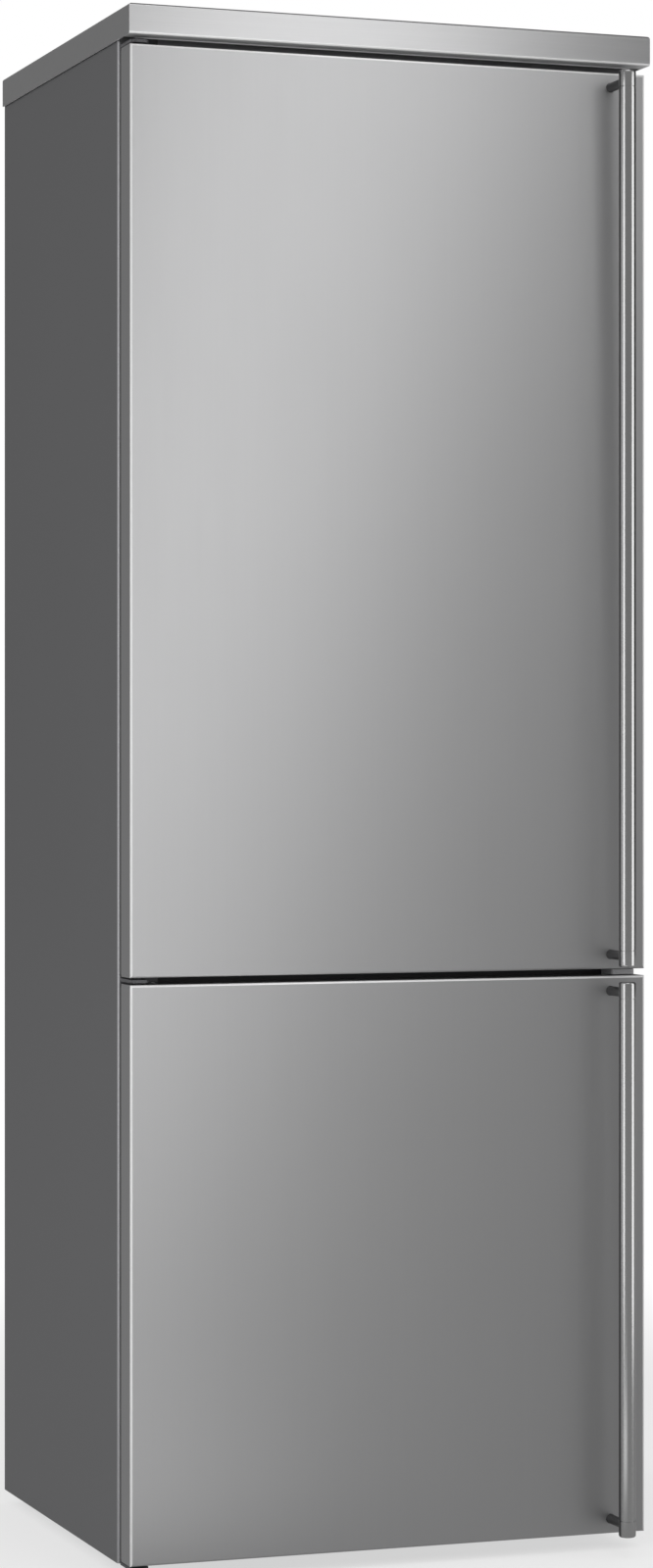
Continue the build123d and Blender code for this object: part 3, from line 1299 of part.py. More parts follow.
def fan_backs():
    """(axis height, back face) of the fridge fan and the freezer fan."""
    gap = GRILLE_SLOT / 2
    return [
        (fridge_fan_z(), DUCT_FRONT_Y + DUCT_WALL + gap + FAN_DEPTH),
        (freezer_fan_z(), COVER_Y + gap + FAN_DEPTH),
    ]


def fan_motors():
    """Two small motors on the liners' back walls, each with a shaft into its fan's hub."""
    motors = []
    for axis_z, back_y in fan_backs():
        start = back_y + SLIDE_CLEARANCE
        body = rod((0, start, axis_z), "Y", MOTOR_RADIUS, CAVITY_BACK_Y - start)
        shaft_length = FAN_DEPTH * 0.7
        shaft = rod((0, start - shaft_length, axis_z), "Y", FAN_SHAFT_RADIUS, shaft_length)
        motors.append(body + shaft)
    return Part() + motors


# ---------------------------------------------------------------- compressor bay


def compressor():
    """Hermetic compressor: a steel can with rounded ends, a weld seam and a foot plate."""
    height = COMPRESSOR_FOOT + COMPRESSOR_HEIGHT
    can = rod((COMPRESSOR_X, COMPRESSOR_Y, GROMMET_TOP_Z), "Z", COMPRESSOR_RADIUS, height)
    can = fillet(can.edges().filter_by(GeomType.CIRCLE), COMPRESSOR_DOME)
    foot_x = COMPRESSOR_BOLT_X + GROMMET_RADIUS
    foot_y = COMPRESSOR_BOLT_Y + GROMMET_RADIUS
    foot = block(
        (COMPRESSOR_X - foot_x, COMPRESSOR_X + foot_x),
        (COMPRESSOR_Y - foot_y, COMPRESSOR_Y + foot_y),
        (GROMMET_TOP_Z, COMPRESSOR_Z),
    )
    return can + compressor_seam() + long_edges(foot, Axis.Z, GROMMET_RADIUS)


def compressor_seam():
    """The weld seam round the middle of the compressor's can."""
    low = COMPRESSOR_Z + COMPRESSOR_HEIGHT / 2 - COMPRESSOR_SEAM
    radius = COMPRESSOR_RADIUS + COMPRESSOR_SEAM
    return rod((COMPRESSOR_X, COMPRESSOR_Y, low), "Z", radius, 2 * COMPRESSOR_SEAM)


def compressor_column():
    """A straight column the size of the compressor's can, to fit other pieces round it."""
    return rod((COMPRESSOR_X, COMPRESSOR_Y, COMPRESSOR_Z), "Z", COMPRESSOR_RADIUS, COMPRESSOR_HEIGHT)


def compressor_grommets():
    """Four rubber mounts under the compressor's foot plate."""
    mounts = []
    for sx in (-1, 1):
        for sy in (-1, 1):
            x = COMPRESSOR_X + sx * COMPRESSOR_BOLT_X
            y = COMPRESSOR_Y + sy * COMPRESSOR_BOLT_Y
            third = GROMMET_HEIGHT / 3
            body = rod((x, y, BASE_TOP_Z), "Z", GROMMET_RADIUS, GROMMET_HEIGHT)
            waist = rod((x, y, BASE_TOP_Z + third), "Z", GROMMET_RADIUS, third)
            core = rod((x, y, BASE_TOP_Z + third), "Z", GROMMET_WAIST_RADIUS, third)
            mounts.append(body - (waist - core))
    return Part() + mounts


def terminal_box():
    """Plastic box over the compressor's terminals, with a hole where the mains cord goes in."""
    left = COMPRESSOR_X - COMPRESSOR_RADIUS - COMPRESSOR_SEAM - TERMINAL_WIDTH
    z0 = COMPRESSOR_Z + COMPRESSOR_DOME
    y = (COMPRESSOR_Y - TERMINAL_DEPTH / 2, COMPRESSOR_Y + TERMINAL_DEPTH / 2)
    box = block((left, COMPRESSOR_X), y, (z0, z0 + TERMINAL_HEIGHT))
    box = fillet(box.edges().filter_by(Axis.Z).group_by(Axis.X)[0], CORD_HOLE_RADIUS)
    hole_z = z0 + TERMINAL_HEIGHT / 5
    hole = rod((left, COMPRESSOR_Y, hole_z), "X", CORD_HOLE_RADIUS, TERMINAL_WIDTH / 2)
    return box - hole - compressor_column() - compressor_seam()


def drip_tray():
    """Evaporation tray that sits on the compressor and catches the defrost water."""
    x = (COMPRESSOR_X - TRAY_WIDTH / 2, COMPRESSOR_X + TRAY_WIDTH / 2)
    y = (COMPRESSOR_Y - TRAY_DEPTH / 2, COMPRESSOR_Y + TRAY_DEPTH / 2)
    tray = long_edges(block(x, y, (TRAY_Z, TRAY_TOP_Z)), Axis.Z, TRAY_RADIUS)
    w = TRAY_WALL
    inner = block((x[0] + w, x[1] - w), (y[0] + w, y[1] - w), (TRAY_Z + w, TRAY_TOP_Z))
    return tray - long_edges(inner, Axis.Z, TRAY_RADIUS - w)


def pipe(points, radius):
    """A round pipe through the points, with a bend at each corner."""
    path = FilletPolyline(*points, radius=PIPE_BEND)
    start = Plane(origin=path @ 0, z_dir=path % 0)
    return sweep(start * Circle(radius), path=path)


def filter_drier():
    """The copper filter drier: a can with necked ends, standing on its outlet at the origin."""
    outline = Polyline(
        (0, 0),
        (PIPE_RADIUS, 0),
        (PIPE_RADIUS, DRIER_RADIUS),
        (DRIER_RADIUS, 2 * DRIER_RADIUS),
        (DRIER_RADIUS, DRIER_LENGTH - 2 * DRIER_RADIUS),
        (PIPE_RADIUS, DRIER_LENGTH - DRIER_RADIUS),
        (PIPE_RADIUS, DRIER_LENGTH),
        (0, DRIER_LENGTH),
        close=True,
    )
    return revolve(Plane.XZ * make_face(outline), Axis.Z)


def refrigerant_pipes():
    """Discharge and suction pipes, the filter drier with its pipes, and the drain pipe."""
    stub_z = COMPRESSOR_Z + COMPRESSOR_HEIGHT * 0.65
    low_z = BASE_TOP_Z + 2 * PIPE_BEND
    wall_y = BAY_FRONT_Y + BAY_SHEET
    run_x = COMPRESSOR_X + COMPRESSOR_RADIUS + 2.5 * PIPE_BEND
    discharge = pipe(
        [
            (COMPRESSOR_X, COMPRESSOR_Y, stub_z),
            (run_x, COMPRESSOR_Y, stub_z),
            (run_x, COMPRESSOR_Y, low_z),
            (run_x, wall_y, low_z),
        ],
        PIPE_RADIUS,
    )
    left_x = COMPRESSOR_X - COMPRESSOR_RADIUS - TERMINAL_WIDTH - 3 * PIPE_BEND
    back_y = COMPRESSOR_Y + TERMINAL_DEPTH / 2 + PIPE_BEND
    suction = pipe(
        [(COMPRESSOR_X, back_y, stub_z), (left_x, back_y, stub_z), (left_x, wall_y, stub_z)],
        PIPE_RADIUS,
    )
    drier_x = left_x - DRIER_LENGTH / 2
    drier_y = wall_y + 2 * PIPE_BEND
    drier_z = low_z + PIPE_BEND
    down = pipe(
        [
            (drier_x, drier_y, drier_z),
            (drier_x, drier_y, low_z - PIPE_RADIUS),
            (drier_x, wall_y, low_z - PIPE_RADIUS),
        ],
        PIPE_RADIUS,
    )
    top_z = drier_z + DRIER_LENGTH
    up = pipe(
        [
            (drier_x, drier_y, top_z),
            (drier_x, drier_y, top_z + PIPE_BEND + PIPE_RADIUS),
            (drier_x, wall_y, top_z + PIPE_BEND + PIPE_RADIUS),
        ],
        PIPE_RADIUS,
    )
    drier = Pos(drier_x, drier_y, drier_z) * filter_drier()
    loops = Part() + [discharge, suction]
    drain_z = TRAY_Z + TRAY_HEIGHT / 3
    drain = rod((COMPRESSOR_X, COMPRESSOR_Y, drain_z), "Z", DRAIN_RADIUS, BAY_TOP_Z - drain_z)
    return loops - compressor_column() + drier + down + up + drain


# ---------------------------------------------------------------- feet, rollers, spacers


def foot(side):
    """Levelling foot: a plastic pad, a hexagon and a stud; side is -1 for the left."""
    x = side * FOOT_X
    pad = rod((x, FOOT_Y, 0), "Z", FOOT_PAD_RADIUS, FOOT_PAD_HEIGHT)
    pad = chamfer(pad.edges().filter_by(GeomType.CIRCLE).sort_by(Axis.Z)[-1], FOOT_PAD_HEIGHT / 4)
    hex_height = BASE_Z - FOOT_CLEARANCE - FOOT_PAD_HEIGHT
    hexagon = RegularPolygon(FOOT_HEX_ACROSS / 2, 6, major_radius=False)
    nut = Pos(x, FOOT_Y, FOOT_PAD_HEIGHT) * extrude(hexagon, hex_height)
    stud = rod((x, FOOT_Y, BASE_Z - FOOT_CLEARANCE), "Z", FOOT_STUD_RADIUS, FOOT_STUD_LENGTH / 2)
    return pad + nut + stud


def roller(side):
    """Rear roller with a trunnion at each end; side is -1 for the left."""
    x = side * ROLLER_X
    half = ROLLER_WIDTH / 2
    wheel = rod((x - half, ROLLER_Y, ROLLER_RADIUS), "X", ROLLER_RADIUS, ROLLER_WIDTH)
    wheel = chamfer(wheel.edges().filter_by(GeomType.CIRCLE), ROLLER_RADIUS / 10)
    reach = half + ROLLER_CLEARANCE + CHEEK
    trunnion = rod((x - reach, ROLLER_Y, ROLLER_RADIUS), "X", ROLLER_TRUNNION_RADIUS, 2 * reach)
    return wheel + trunnion


def wall_spacers():
    """Two plastic spacers that keep the back off the wall, each between two swages."""
    x = -swage_pitch() * 1.5
    half = (swage_pitch() - SWAGE_WIDTH) / 2 - FOOT_CLEARANCE
    z = TOTAL_HEIGHT * SPACER_HEIGHT_SHARE
    base_y = PANEL_Y + SPACER_DEPTH / 4
    plate = block((x - half, x + half), (PANEL_Y, base_y), (z - half, z + half))
    nose = block((x - half, x + half), (base_y, BACK_Y + SPACER_DEPTH), (z - half / 4, z + half / 4))
    nose = fillet(nose.edges().filter_by(Axis.Z).group_by(Axis.Y)[-1], half / 3)
    return both_sides(plate + nose)


# ---------------------------------------------------------------- export


def nodes():
    """Every sub-part by name."""
    upper, lower = UPPER_DOOR_Z, LOWER_DOOR_Z
    bottle, middle, _ = balcony_spans()
    fridge_fan, freezer_fan = fan_backs()
    return {
        "outer_wrapper": outer_wrapper(),
        "back_panel": back_panel(),
        "base_plate": base_plate(),
        "bay_shroud": bay_shroud(),
        "cabinet_foam": cabinet_foam(),
        "fridge_liner": fridge_liner(),
        "freezer_liner": freezer_liner(),
        "front_rails": front_rails(),
        "top_cap": top_cap(),
        "top_hinge": top_hinge(),
        "middle_hinge": middle_hinge(),
        "bottom_hinge": bottom_hinge(),
        "hinge_hole_cover": hinge_hole_cover(),
        "hinge_screws": hinge_screws(),
        "glass_shelves": glass_shelves(),
        "shelf_trims": shelf_trims(),
        "fridge_duct": fridge_duct(),
        "freezer_duct": freezer_duct(),
        "evaporator": evaporator(),
        "fan_motors": fan_motors(),
        "fridge_fan": fan(*fridge_fan),
        "freezer_fan": fan(*freezer_fan),
        "control_panel": control_panel(),
        "cooling_button": button(BUTTON_X[0]),
        "freezing_button": button(BUTTON_X[1]),
        "led_strips": led_strips(),
        "compressor": compressor(),
        "compressor_grommets": compressor_grommets(),
        "terminal_box": terminal_box(),
        "drip_tray": drip_tray(),
        "refrigerant_pipes": refrigerant_pipes(),
        "wall_spacers": wall_spacers(),
        "roller_left": roller(-1),
        "roller_right": roller(1),
        "front_foot_left": foot(-1),
        "front_foot_right": foot(1),
        "fridge_door_skin": door_skin(upper),
        "fridge_door_foam": door_foam(upper, fridge_dike_core()),
        "fridge_door_liner": fridge_door_liner(),
        "fridge_door_seal": door_seal(upper),
        "fridge_door_bushes": door_bushes(upper),
        "fridge_handle_bar": handle_bar(upper),
        "fridge_handle_mounts": handle_mounts(upper),
        "freezer_door_skin": door_skin(lower),
        "freezer_door_foam": door_foam(lower, freezer_dike_core()),
        "freezer_door_liner": freezer_door_liner(),
        "freezer_door_seal": door_seal(lower),
        "freezer_door_bushes": door_bushes(lower),
        "freezer_handle_bar": handle_bar(lower),
        "freezer_handle_mounts": handle_mounts(lower),
        "dairy_balcony": dairy_balcony(),
        "dairy_lid": dairy_lid(),
        "middle_balcony": balcony(*middle),
        "bottle_balcony": balcony(*bottle),
        "bottle_stop": bottle_stop(),
        "vegetable_drawer": fridge_drawer(0),
        "chill_drawer": fridge_drawer(1),
        "freezer_drawer_lower": freezer_drawer(0),
        "freezer_drawer_middle": freezer_drawer(1),
        "freezer_drawer_upper": freezer_drawer(2),
    }


os.makedirs("parts", exist_ok=True)
for name, shape in nodes().items():
    export_step(shape, f"parts/{name}.step")
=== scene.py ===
"""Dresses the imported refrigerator: smooth and detailed pieces, finishes, camera and studio.

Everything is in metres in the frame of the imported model: +Z up, -Y to the front, +X to the right
as seen from the front, and the floor at z = 0.
"""

import json
import math
from typing import NamedTuple

import bmesh
import bpy
from bpy.props import FloatProperty, FloatVectorProperty, PointerProperty
from mathutils import Matrix, Vector

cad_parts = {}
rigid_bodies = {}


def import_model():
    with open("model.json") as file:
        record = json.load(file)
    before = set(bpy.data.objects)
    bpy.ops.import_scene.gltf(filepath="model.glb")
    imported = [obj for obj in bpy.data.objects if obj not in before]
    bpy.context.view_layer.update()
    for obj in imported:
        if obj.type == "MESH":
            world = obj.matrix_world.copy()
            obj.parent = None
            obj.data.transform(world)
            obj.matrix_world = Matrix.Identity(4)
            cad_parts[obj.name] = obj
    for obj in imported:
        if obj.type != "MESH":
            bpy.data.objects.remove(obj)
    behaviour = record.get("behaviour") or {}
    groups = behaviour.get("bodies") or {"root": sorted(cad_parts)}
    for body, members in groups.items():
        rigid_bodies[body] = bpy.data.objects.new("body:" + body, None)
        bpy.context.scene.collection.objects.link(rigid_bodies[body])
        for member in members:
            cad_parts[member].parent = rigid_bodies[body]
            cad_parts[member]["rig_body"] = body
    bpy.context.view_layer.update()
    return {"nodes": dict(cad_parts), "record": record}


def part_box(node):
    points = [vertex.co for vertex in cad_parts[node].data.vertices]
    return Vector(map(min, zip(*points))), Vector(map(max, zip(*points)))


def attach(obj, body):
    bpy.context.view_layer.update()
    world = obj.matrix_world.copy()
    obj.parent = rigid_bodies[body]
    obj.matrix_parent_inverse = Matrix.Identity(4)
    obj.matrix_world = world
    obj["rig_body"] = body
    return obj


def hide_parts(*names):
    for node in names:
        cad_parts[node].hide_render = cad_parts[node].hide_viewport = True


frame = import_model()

bl_info = {
    "name": "Bottom Freezer Refrigerator",
    "version": (1, 0, 0),
    "blender": (4, 5, 0),
    "location": "3D View > Sidebar > Refrigerator",
    "description": "Builds the visible pieces, finishes and studio of a refrigerator",
    "category": "Object",
}

NODES = frame["nodes"]
MM = 0.001

MERGE_DISTANCE = 1e-6
FLAT_ANGLE = math.radians(0.5)  # faces nearer to one plane than this become one face
SMOOTH_ANGLE = math.radians(32.0)  # edges sharper than this stay sharp
SOFTEN_ANGLE = math.radians(40.0)  # edges sharper than this are softened
TURN_STEPS = 64  # in a full turn of a handle's tube or cap
POST_STEPS = 40
STUD_STEPS = 16
TIP_STEPS = 6  # in the quarter turn of a handle's rounded tip

FOLD_TURN = 0.02  # 1 - cos of the angle at which a curved face gets the full painted highlight of a folded edge
PLAIN_STRIP = 4 * MM  # lowest strip of a door, which gets no painted highlight
FRONT_STRIP = 6 * MM  # front strip of the cabinet's sides, whose folded edge gets a painted highlight
CAP_LIP = 3.5 * MM  # lowest strip of the cap, which gets a painted highlight in part
# share of the painted highlight on the flat faces of that strip, which lightens the cap's lip where
# it lies in shade
CAP_LIP_HIGHLIGHT_SHARE = 0.6

LIP_INSET = MM  # from a door's side edge in to the lip of its seal
LIP_END_INSET = 3 * MM  # from a door's ends in to the ends of that lip
TUBE_WALL = 1.5 * MM
POST_FROM_TIP = 14 * MM  # from a handle's tip to the middle of its post
GROOVE_SLOPE = 0.3  # share of a ring groove's width that its slope takes

SCREW_HEAD = 4 * MM  # radius of a screw's head
SCREW_INSET = 7.5 * MM  # from the cabinet's outside in to a row of screws
SCREW_BOTTOM = 300 * MM  # from the cabinet's underside to the lowest screw
SCREW_TOP = 120 * MM  # from the roof to the highest screw of a side
SCREW_ROWS = 6
TOP_SCREWS = (-200 * MM, 0.0, 200 * MM)  # across the cabinet, under the roof
LENS_RADIUS = 1.6 * MM  # of an indicator on the control panel
LENS_PITCH = 18 * MM


# ---------------------------------------------------------------- settings


def colour(name, description, default):
    """A colour that the user may change."""
    return FloatVectorProperty(
        name=name, description=description, default=default,
        subtype="COLOR", size=3, min=0.0, max=1.0,
    )


def length(name, description, default):
    """A length in metres that the user may change."""
    return FloatProperty(
        name=name, description=description, default=default, unit="LENGTH", min=0.0
    )


def factor(name, description, default):
    """A share from 0 to 1 that the user may change."""
    return FloatProperty(
        name=name, description=description, default=default, subtype="FACTOR", min=0.0, max=1.0
    )


def strength(name, description, default):
    """A strength of light that the user may change."""
    return FloatProperty(name=name, description=description, default=default, min=0.0)


class MetalSettings(bpy.types.PropertyGroup):
    """Colours and grain of the steel, zinc, copper and aluminium, and the painted highlight and
    painted shade on the steel.
    """

    steel: colour("Steel", "Brushed stainless steel of the doors and the cap", (0.62, 0.62, 0.625))
    steel_roughness: factor("Steel roughness", "How much the doors blur what they reflect", 0.42)
    handle: colour("Handle steel", "Satin stainless steel of the handles", (0.66, 0.66, 0.66))
    handle_roughness: factor("Handle roughness", "How much the handles blur what they reflect", 0.2)
    zinc: colour("Zinc", "Galvanised sheet of the back, base and bay", (0.58, 0.59, 0.6))
    hinge: colour("Hinge grey", "Powder coat of the hinges", (0.11, 0.11, 0.115))
    copper: colour("Copper", "Bare copper pipes", (0.72, 0.36, 0.2))
    aluminium: colour("Aluminium", "Evaporator fins", (0.72, 0.72, 0.73))
    enamel: colour("Enamel", "Black enamel of the compressor", (0.018, 0.018, 0.02))
    # painted highlight: the bright colour and the diffuse share that folded edges get in place of
    # the light they would catch
    fold: colour("Burnished folds", "Folded edges, polished bright", (0.95, 0.95, 0.95))
    fold_highlight_scatter: factor("Fold scatter", "Share of light that the folded edges scatter", 0.6)
    # painted shade: the darker side of the handles towards the door, which stands for the dark that
    # they reflect there
    painted_back_shade: colour("Dull steel", "Side of the handles towards the door", (0.36, 0.36, 0.36))
    # painted shade: the near black of the posts and of the bands along the handles' flanks
    post: colour("Post steel", "Dark posts and flanks of the handles", (0.07, 0.07, 0.072))


class PlasticSettings(bpy.types.PropertyGroup):
    """Colours of the paint, plastics, glass, rubber and foam."""

    paint: colour("Cabinet paint", "Grey metallic paint of the cabinet", (0.275, 0.275, 0.284))
    # painted shade: the rails are near black so that the gap between the doors reads as shadow
    rail_shade: colour("Rail paint", "Graphite paint of the front cross rails", (0.03, 0.03, 0.032))
    liner: colour("Liner", "White moulded liners and ducts", (0.82, 0.83, 0.84))
    grey: colour("Grey plastic", "Control panel and hinge-hole cover", (0.42, 0.42, 0.43))
    black: colour("Black plastic", "Fans, motors, feet and terminal box", (0.022, 0.022, 0.024))
    silver: colour("Silver trim", "Shelf edges, buttons and bottle stop", (0.56, 0.57, 0.58))
    clear: colour("Clear plastic", "Drawers, balconies and lid", (0.95, 0.975, 0.98))
    glass: colour("Glass", "Toughened glass shelves", (0.91, 0.965, 0.945))
    # a dark grey seal, as real seals are, made darker still as painted shade in the gaps round the
    # doors
    vinyl_and_gap_shade: colour("Seal", "Soft grey vinyl of the door seals", (0.05, 0.05, 0.052))
    # this black also colours the seal lips, where it is painted shade
    rubber: colour("Rubber", "Compressor mounts", (0.02, 0.02, 0.02))
    foam: colour("Foam", "Insulation", (0.72, 0.6, 0.3))
    light: colour("Light cover", "Milky covers of the interior lights", (0.95, 0.96, 0.93))


class DetailSettings(bpy.types.PropertyGroup):
    """Small sizes of the pieces that are finer here than in the frame."""

    soft_edge: length("Soft edge", "Rounding of moulded and folded edges", 0.0004)
    groove_width: length("Groove width", "Ring groove between a handle's cap and its tube", 0.0012)
    groove_depth: length("Groove depth", "Depth of that groove", 0.0006)
    tip_radius: length("Tip radius", "Rounding of a handle's ends", 0.003)
    post_radius: length("Post radius", "Posts that carry the handles", 0.006)
    post_foot: length("Post foot", "Flare of a post where it meets the door", 0.0008)
    # the seal lip is black, as painted shade in the gap beside a door
    lip_depth: length("Seal lip depth", "Outer lip of a seal, behind the door's side edges", 0.0075)
    lip_thickness: length("Seal lip thickness", "Thickness of that lip", 0.0012)


class StudioSettings(bpy.types.PropertyGroup):
    """Camera, lamps and floor."""

    camera_place: FloatVectorProperty(
        name="Camera place", description="Where the camera stands", default=(-1.792, -5.027, 1.026),
        subtype="TRANSLATION", unit="LENGTH", size=3,
    )
    camera_turn: FloatProperty(
        name="Camera turn", description="Turn of the level camera from the front to the right",
        default=math.radians(19.7), subtype="ANGLE",
    )
    lens: FloatProperty(
        name="Lens", description="Focal length in millimetres", default=91.94, min=1.0
    )
    shift_up: FloatProperty(
        name="Vertical shift", description="Shift of the picture, as a share of its height",
        default=-0.0171,
    )
    floor: colour("Floor", "Pale floor", (0.8, 0.8, 0.8))
    room_light: strength("Room light", "Even light from all round", 0.6)
    room_gloss: strength("Room gloss", "The room in reflections", 0.22)
    room_flag: factor("Black flag", "How much a flag at the right dims the room's gloss", 0.75)
    floor_gloss: strength("Floor gloss", "The floor in reflections", 0.26)
    key_power: strength("Key power", "Front softbox in watts", 6.1)
    right_power: strength("Right power", "Softbox at the right in watts", 9.0)
    left_power: strength("Left power", "Softbox at the left in watts", 8.1)
    top_power: strength("Top power", "Softbox overhead in watts", 6.0)
    rear_power: strength("Rear power", "Softbox behind the object in watts", 12.0)
    floor_pool: strength("Floor pool", "Pool of light on the floor, in reflections", 0.9)


def metals():
    """The metal settings of this scene."""
    return bpy.context.scene.fridge_metals


def plastics():
    """The plastic settings of this scene."""
    return bpy.context.scene.fridge_plastics


def details():
    """The detail settings of this scene."""
    return bpy.context.scene.fridge_details


def studio():
    """The studio settings of this scene."""
    return bpy.context.scene.fridge_studio


# ---------------------------------------------------------------- shader building


class Value:
    """An output of a shader node. Arithmetic on it adds Math nodes."""

    def __init__(self, finish, socket):
        self.finish = finish
        self.socket = socket

    def __add__(self, other):
        return self.finish.math("ADD", self, other)

    def __radd__(self, other):
        return self.finish.math("ADD", other, self)

    def __sub__(self, other):
        return self.finish.math("SUBTRACT", self, other)

    def __rsub__(self, other):
        return self.finish.math("SUBTRACT", other, self)

    def __mul__(self, other):
        return self.finish.math("MULTIPLY", self, other)

    def __rmul__(self, other):
        return self.finish.math("MULTIPLY", other, self)


class Finish:
    """A node tree while its nodes are being added."""

    def __init__(self, tree):
        self.tree = tree
        tree.nodes.clear()

    def node(self, kind, settings=None, values=None, output=0):
        """Adds a node of a kind: first its settings, then what its sockets get."""
        made = self.tree.nodes.new(kind)
        for name, setting in (settings or {}).items():
            setattr(made, name, setting)
        for name, value in (values or {}).items():
            if isinstance(value, Value):
                self.tree.links.new(value.socket, made.inputs[name])
            else:
                made.inputs[name].default_value = value
        return Value(self, made.outputs[output]) if made.outputs else None

    def math(self, operation, first, second):
        """One Math node."""
        return self.node("ShaderNodeMath", {"operation": operation}, {0: first, 1: second})

    def mix(self, share, first, second):
        """A colour between two colours, which are the node's sockets 6 and 7."""
        values = {0: share, 6: first, 7: second}
        return self.node("ShaderNodeMix", {"data_type": "RGBA"}, values, output=2)

    def blend(self, share, first, second):
        """A shader between two shaders."""
        return self.node("ShaderNodeMixShader", None, {0: share, 1: first, 2: second})

    def place(self):
        """Object coordinates, in metres."""
        return self.node("ShaderNodeTexCoord", output="Object")

    def axis(self, vector, name):
        """One axis of a vector."""
        return self.node("ShaderNodeSeparateXYZ", None, {"Vector": vector}, output=name)

    def fold(self):
        """How much painted highlight the mesh's folded faces are marked with, from 0 to 1."""
        return self.node("ShaderNodeAttribute", {"attribute_name": "fold"}, output="Fac")

    def distance(self, point):
        """How far a place lies from a point, in metres."""
        values = {0: self.place(), 1: point}
        return self.node("ShaderNodeVectorMath", {"operation": "DISTANCE"}, values, output="Value")

    def grained(self, axis, across, along):
        """Object coordinates scaled to the features a metre across and along a grain."""
        scale = [across] * 3
        scale["XYZ".index(axis)] = along
        return self.node("ShaderNodeMapping", None, {"Vector": self.place(), "Scale": scale})

    def cells(self, scale, output="Distance"):
        """Random cells, a number of them a metre."""
        values = {"Vector": self.place(), "Scale": scale}
        return self.node("ShaderNodeTexVoronoi", None, values, output=output)

    def noise(self, vector, scale=1.0, detail=2.0, roughness=0.5):
        """Smooth noise round 0.5."""
        values = {"Vector": vector, "Scale": scale, "Detail": detail, "Roughness": roughness}
        return self.node("ShaderNodeTexNoise", None, values)

    def spread(self, value, low, high, to_low=0.0, to_high=1.0):
        """A value carried smoothly from one range to another."""
        values = {"Value": value, "From Min": low, "From Max": high}
        values.update({"To Min": to_low, "To Max": to_high})
        return self.node("ShaderNodeMapRange", {"interpolation_type": "SMOOTHSTEP"}, values)

    def bump(self, height, depth, strength=1.0):
        """A normal bent by a height, which is from 0 to 1 and stands for depth metres."""
        values = {"Height": height, "Distance": depth, "Strength": strength}
        return self.node("ShaderNodeBump", None, values)

    def tinted(self, base, share, amount):
        """The base colour, lighter and darker by an amount as share goes from 1 to 0."""
        dark = [c * (1 - amount) for c in base]
        light = [min(1.0, c * (1 + amount)) for c in base]
        return self.mix(share, (*dark, 1.0), (*light, 1.0))

    def ray(self, kind):
        """Whether the ray that arrives is of a kind, such as Camera."""
        return self.node("ShaderNodeLightPath", output=f"Is {kind} Ray")

    def backdrop(self):
        """Whether the camera sees this, directly or through glass."""
        return self.math("MAXIMUM", self.ray("Camera"), self.ray("Transmission"))

    def surface(self, **values):
        """The Principled shader, with underscores for the spaces of its sockets' names."""
        named = {name.replace("_", " "): value for name, value in values.items()}
        shader = self.node("ShaderNodeBsdfPrincipled", None, named)
        self.node("ShaderNodeOutputMaterial", None, {"Surface": shader})


BRUSHED_ALONG = 5.0  # features a metre along the grain of brushed metal
BRUSHED_DEPTH = 0.000012
COARSE_WIDTH, COARSE_LENGTH = 6, 3  # how much wider and longer its coarse lines are
FOLD_HIGHLIGHT_BRIGHTNESS = 2.0  # how much brighter the paint is made on a folded edge, as a painted highlight
DIODE_PITCH = 40 * MM  # of the lights behind their covers
# Where the painted shade on a handle fades in, as shares of its tube's radius behind its middle.
FLANKS_START = (-0.5, -0.2)
FLANKS_END = (0.3, 0.5)
POSTS_START = (0.95, 1.3)


def new_material(name):
    """A new material and the finish that fills it."""
    material = bpy.data.materials.new(name)
    material.use_nodes = True
    return material, Finish(material.node_tree)


def brushed_lines(f, grain, lines):
    """Fine brushed lines along one axis, a number of them a metre."""
    return f.noise(f.grained(grain, lines, BRUSHED_ALONG), detail=3.0, roughness=0.65)


def brushed_roughness(roughness, fine, cloud):
    """A steel's roughness, varied by its lines and slowly over its surface."""
    return roughness + (fine - 0.5) * 0.14 + (cloud - 0.5) * 0.05


def brushed_steel(name, base, roughness, grain, lines, contrast):
    """Brushed steel or aluminium with its grain along one axis, and a painted highlight on its
    folded edges.
    """
    material, f = new_material(name)
    fine = brushed_lines(f, grain, lines)
    coarse = f.noise(f.grained(grain, lines / COARSE_WIDTH, BRUSHED_ALONG / COARSE_LENGTH))
    cloud = f.noise(f.place(), scale=2.2, detail=2.0)
    share = fine * 0.55 + coarse * 0.3 + cloud * 0.15
    # painted highlight on the marked folded edges: a bright colour and less metal
    fold = f.fold()
    f.surface(
        Base_Color=f.mix(fold, f.tinted(base, share, contrast), (*metals().fold, 1.0)),
        Metallic=1.0 - fold * metals().fold_highlight_scatter,
        Roughness=brushed_roughness(roughness, fine, cloud),
        Normal=f.bump(fine, BRUSHED_DEPTH),
    )
    return material


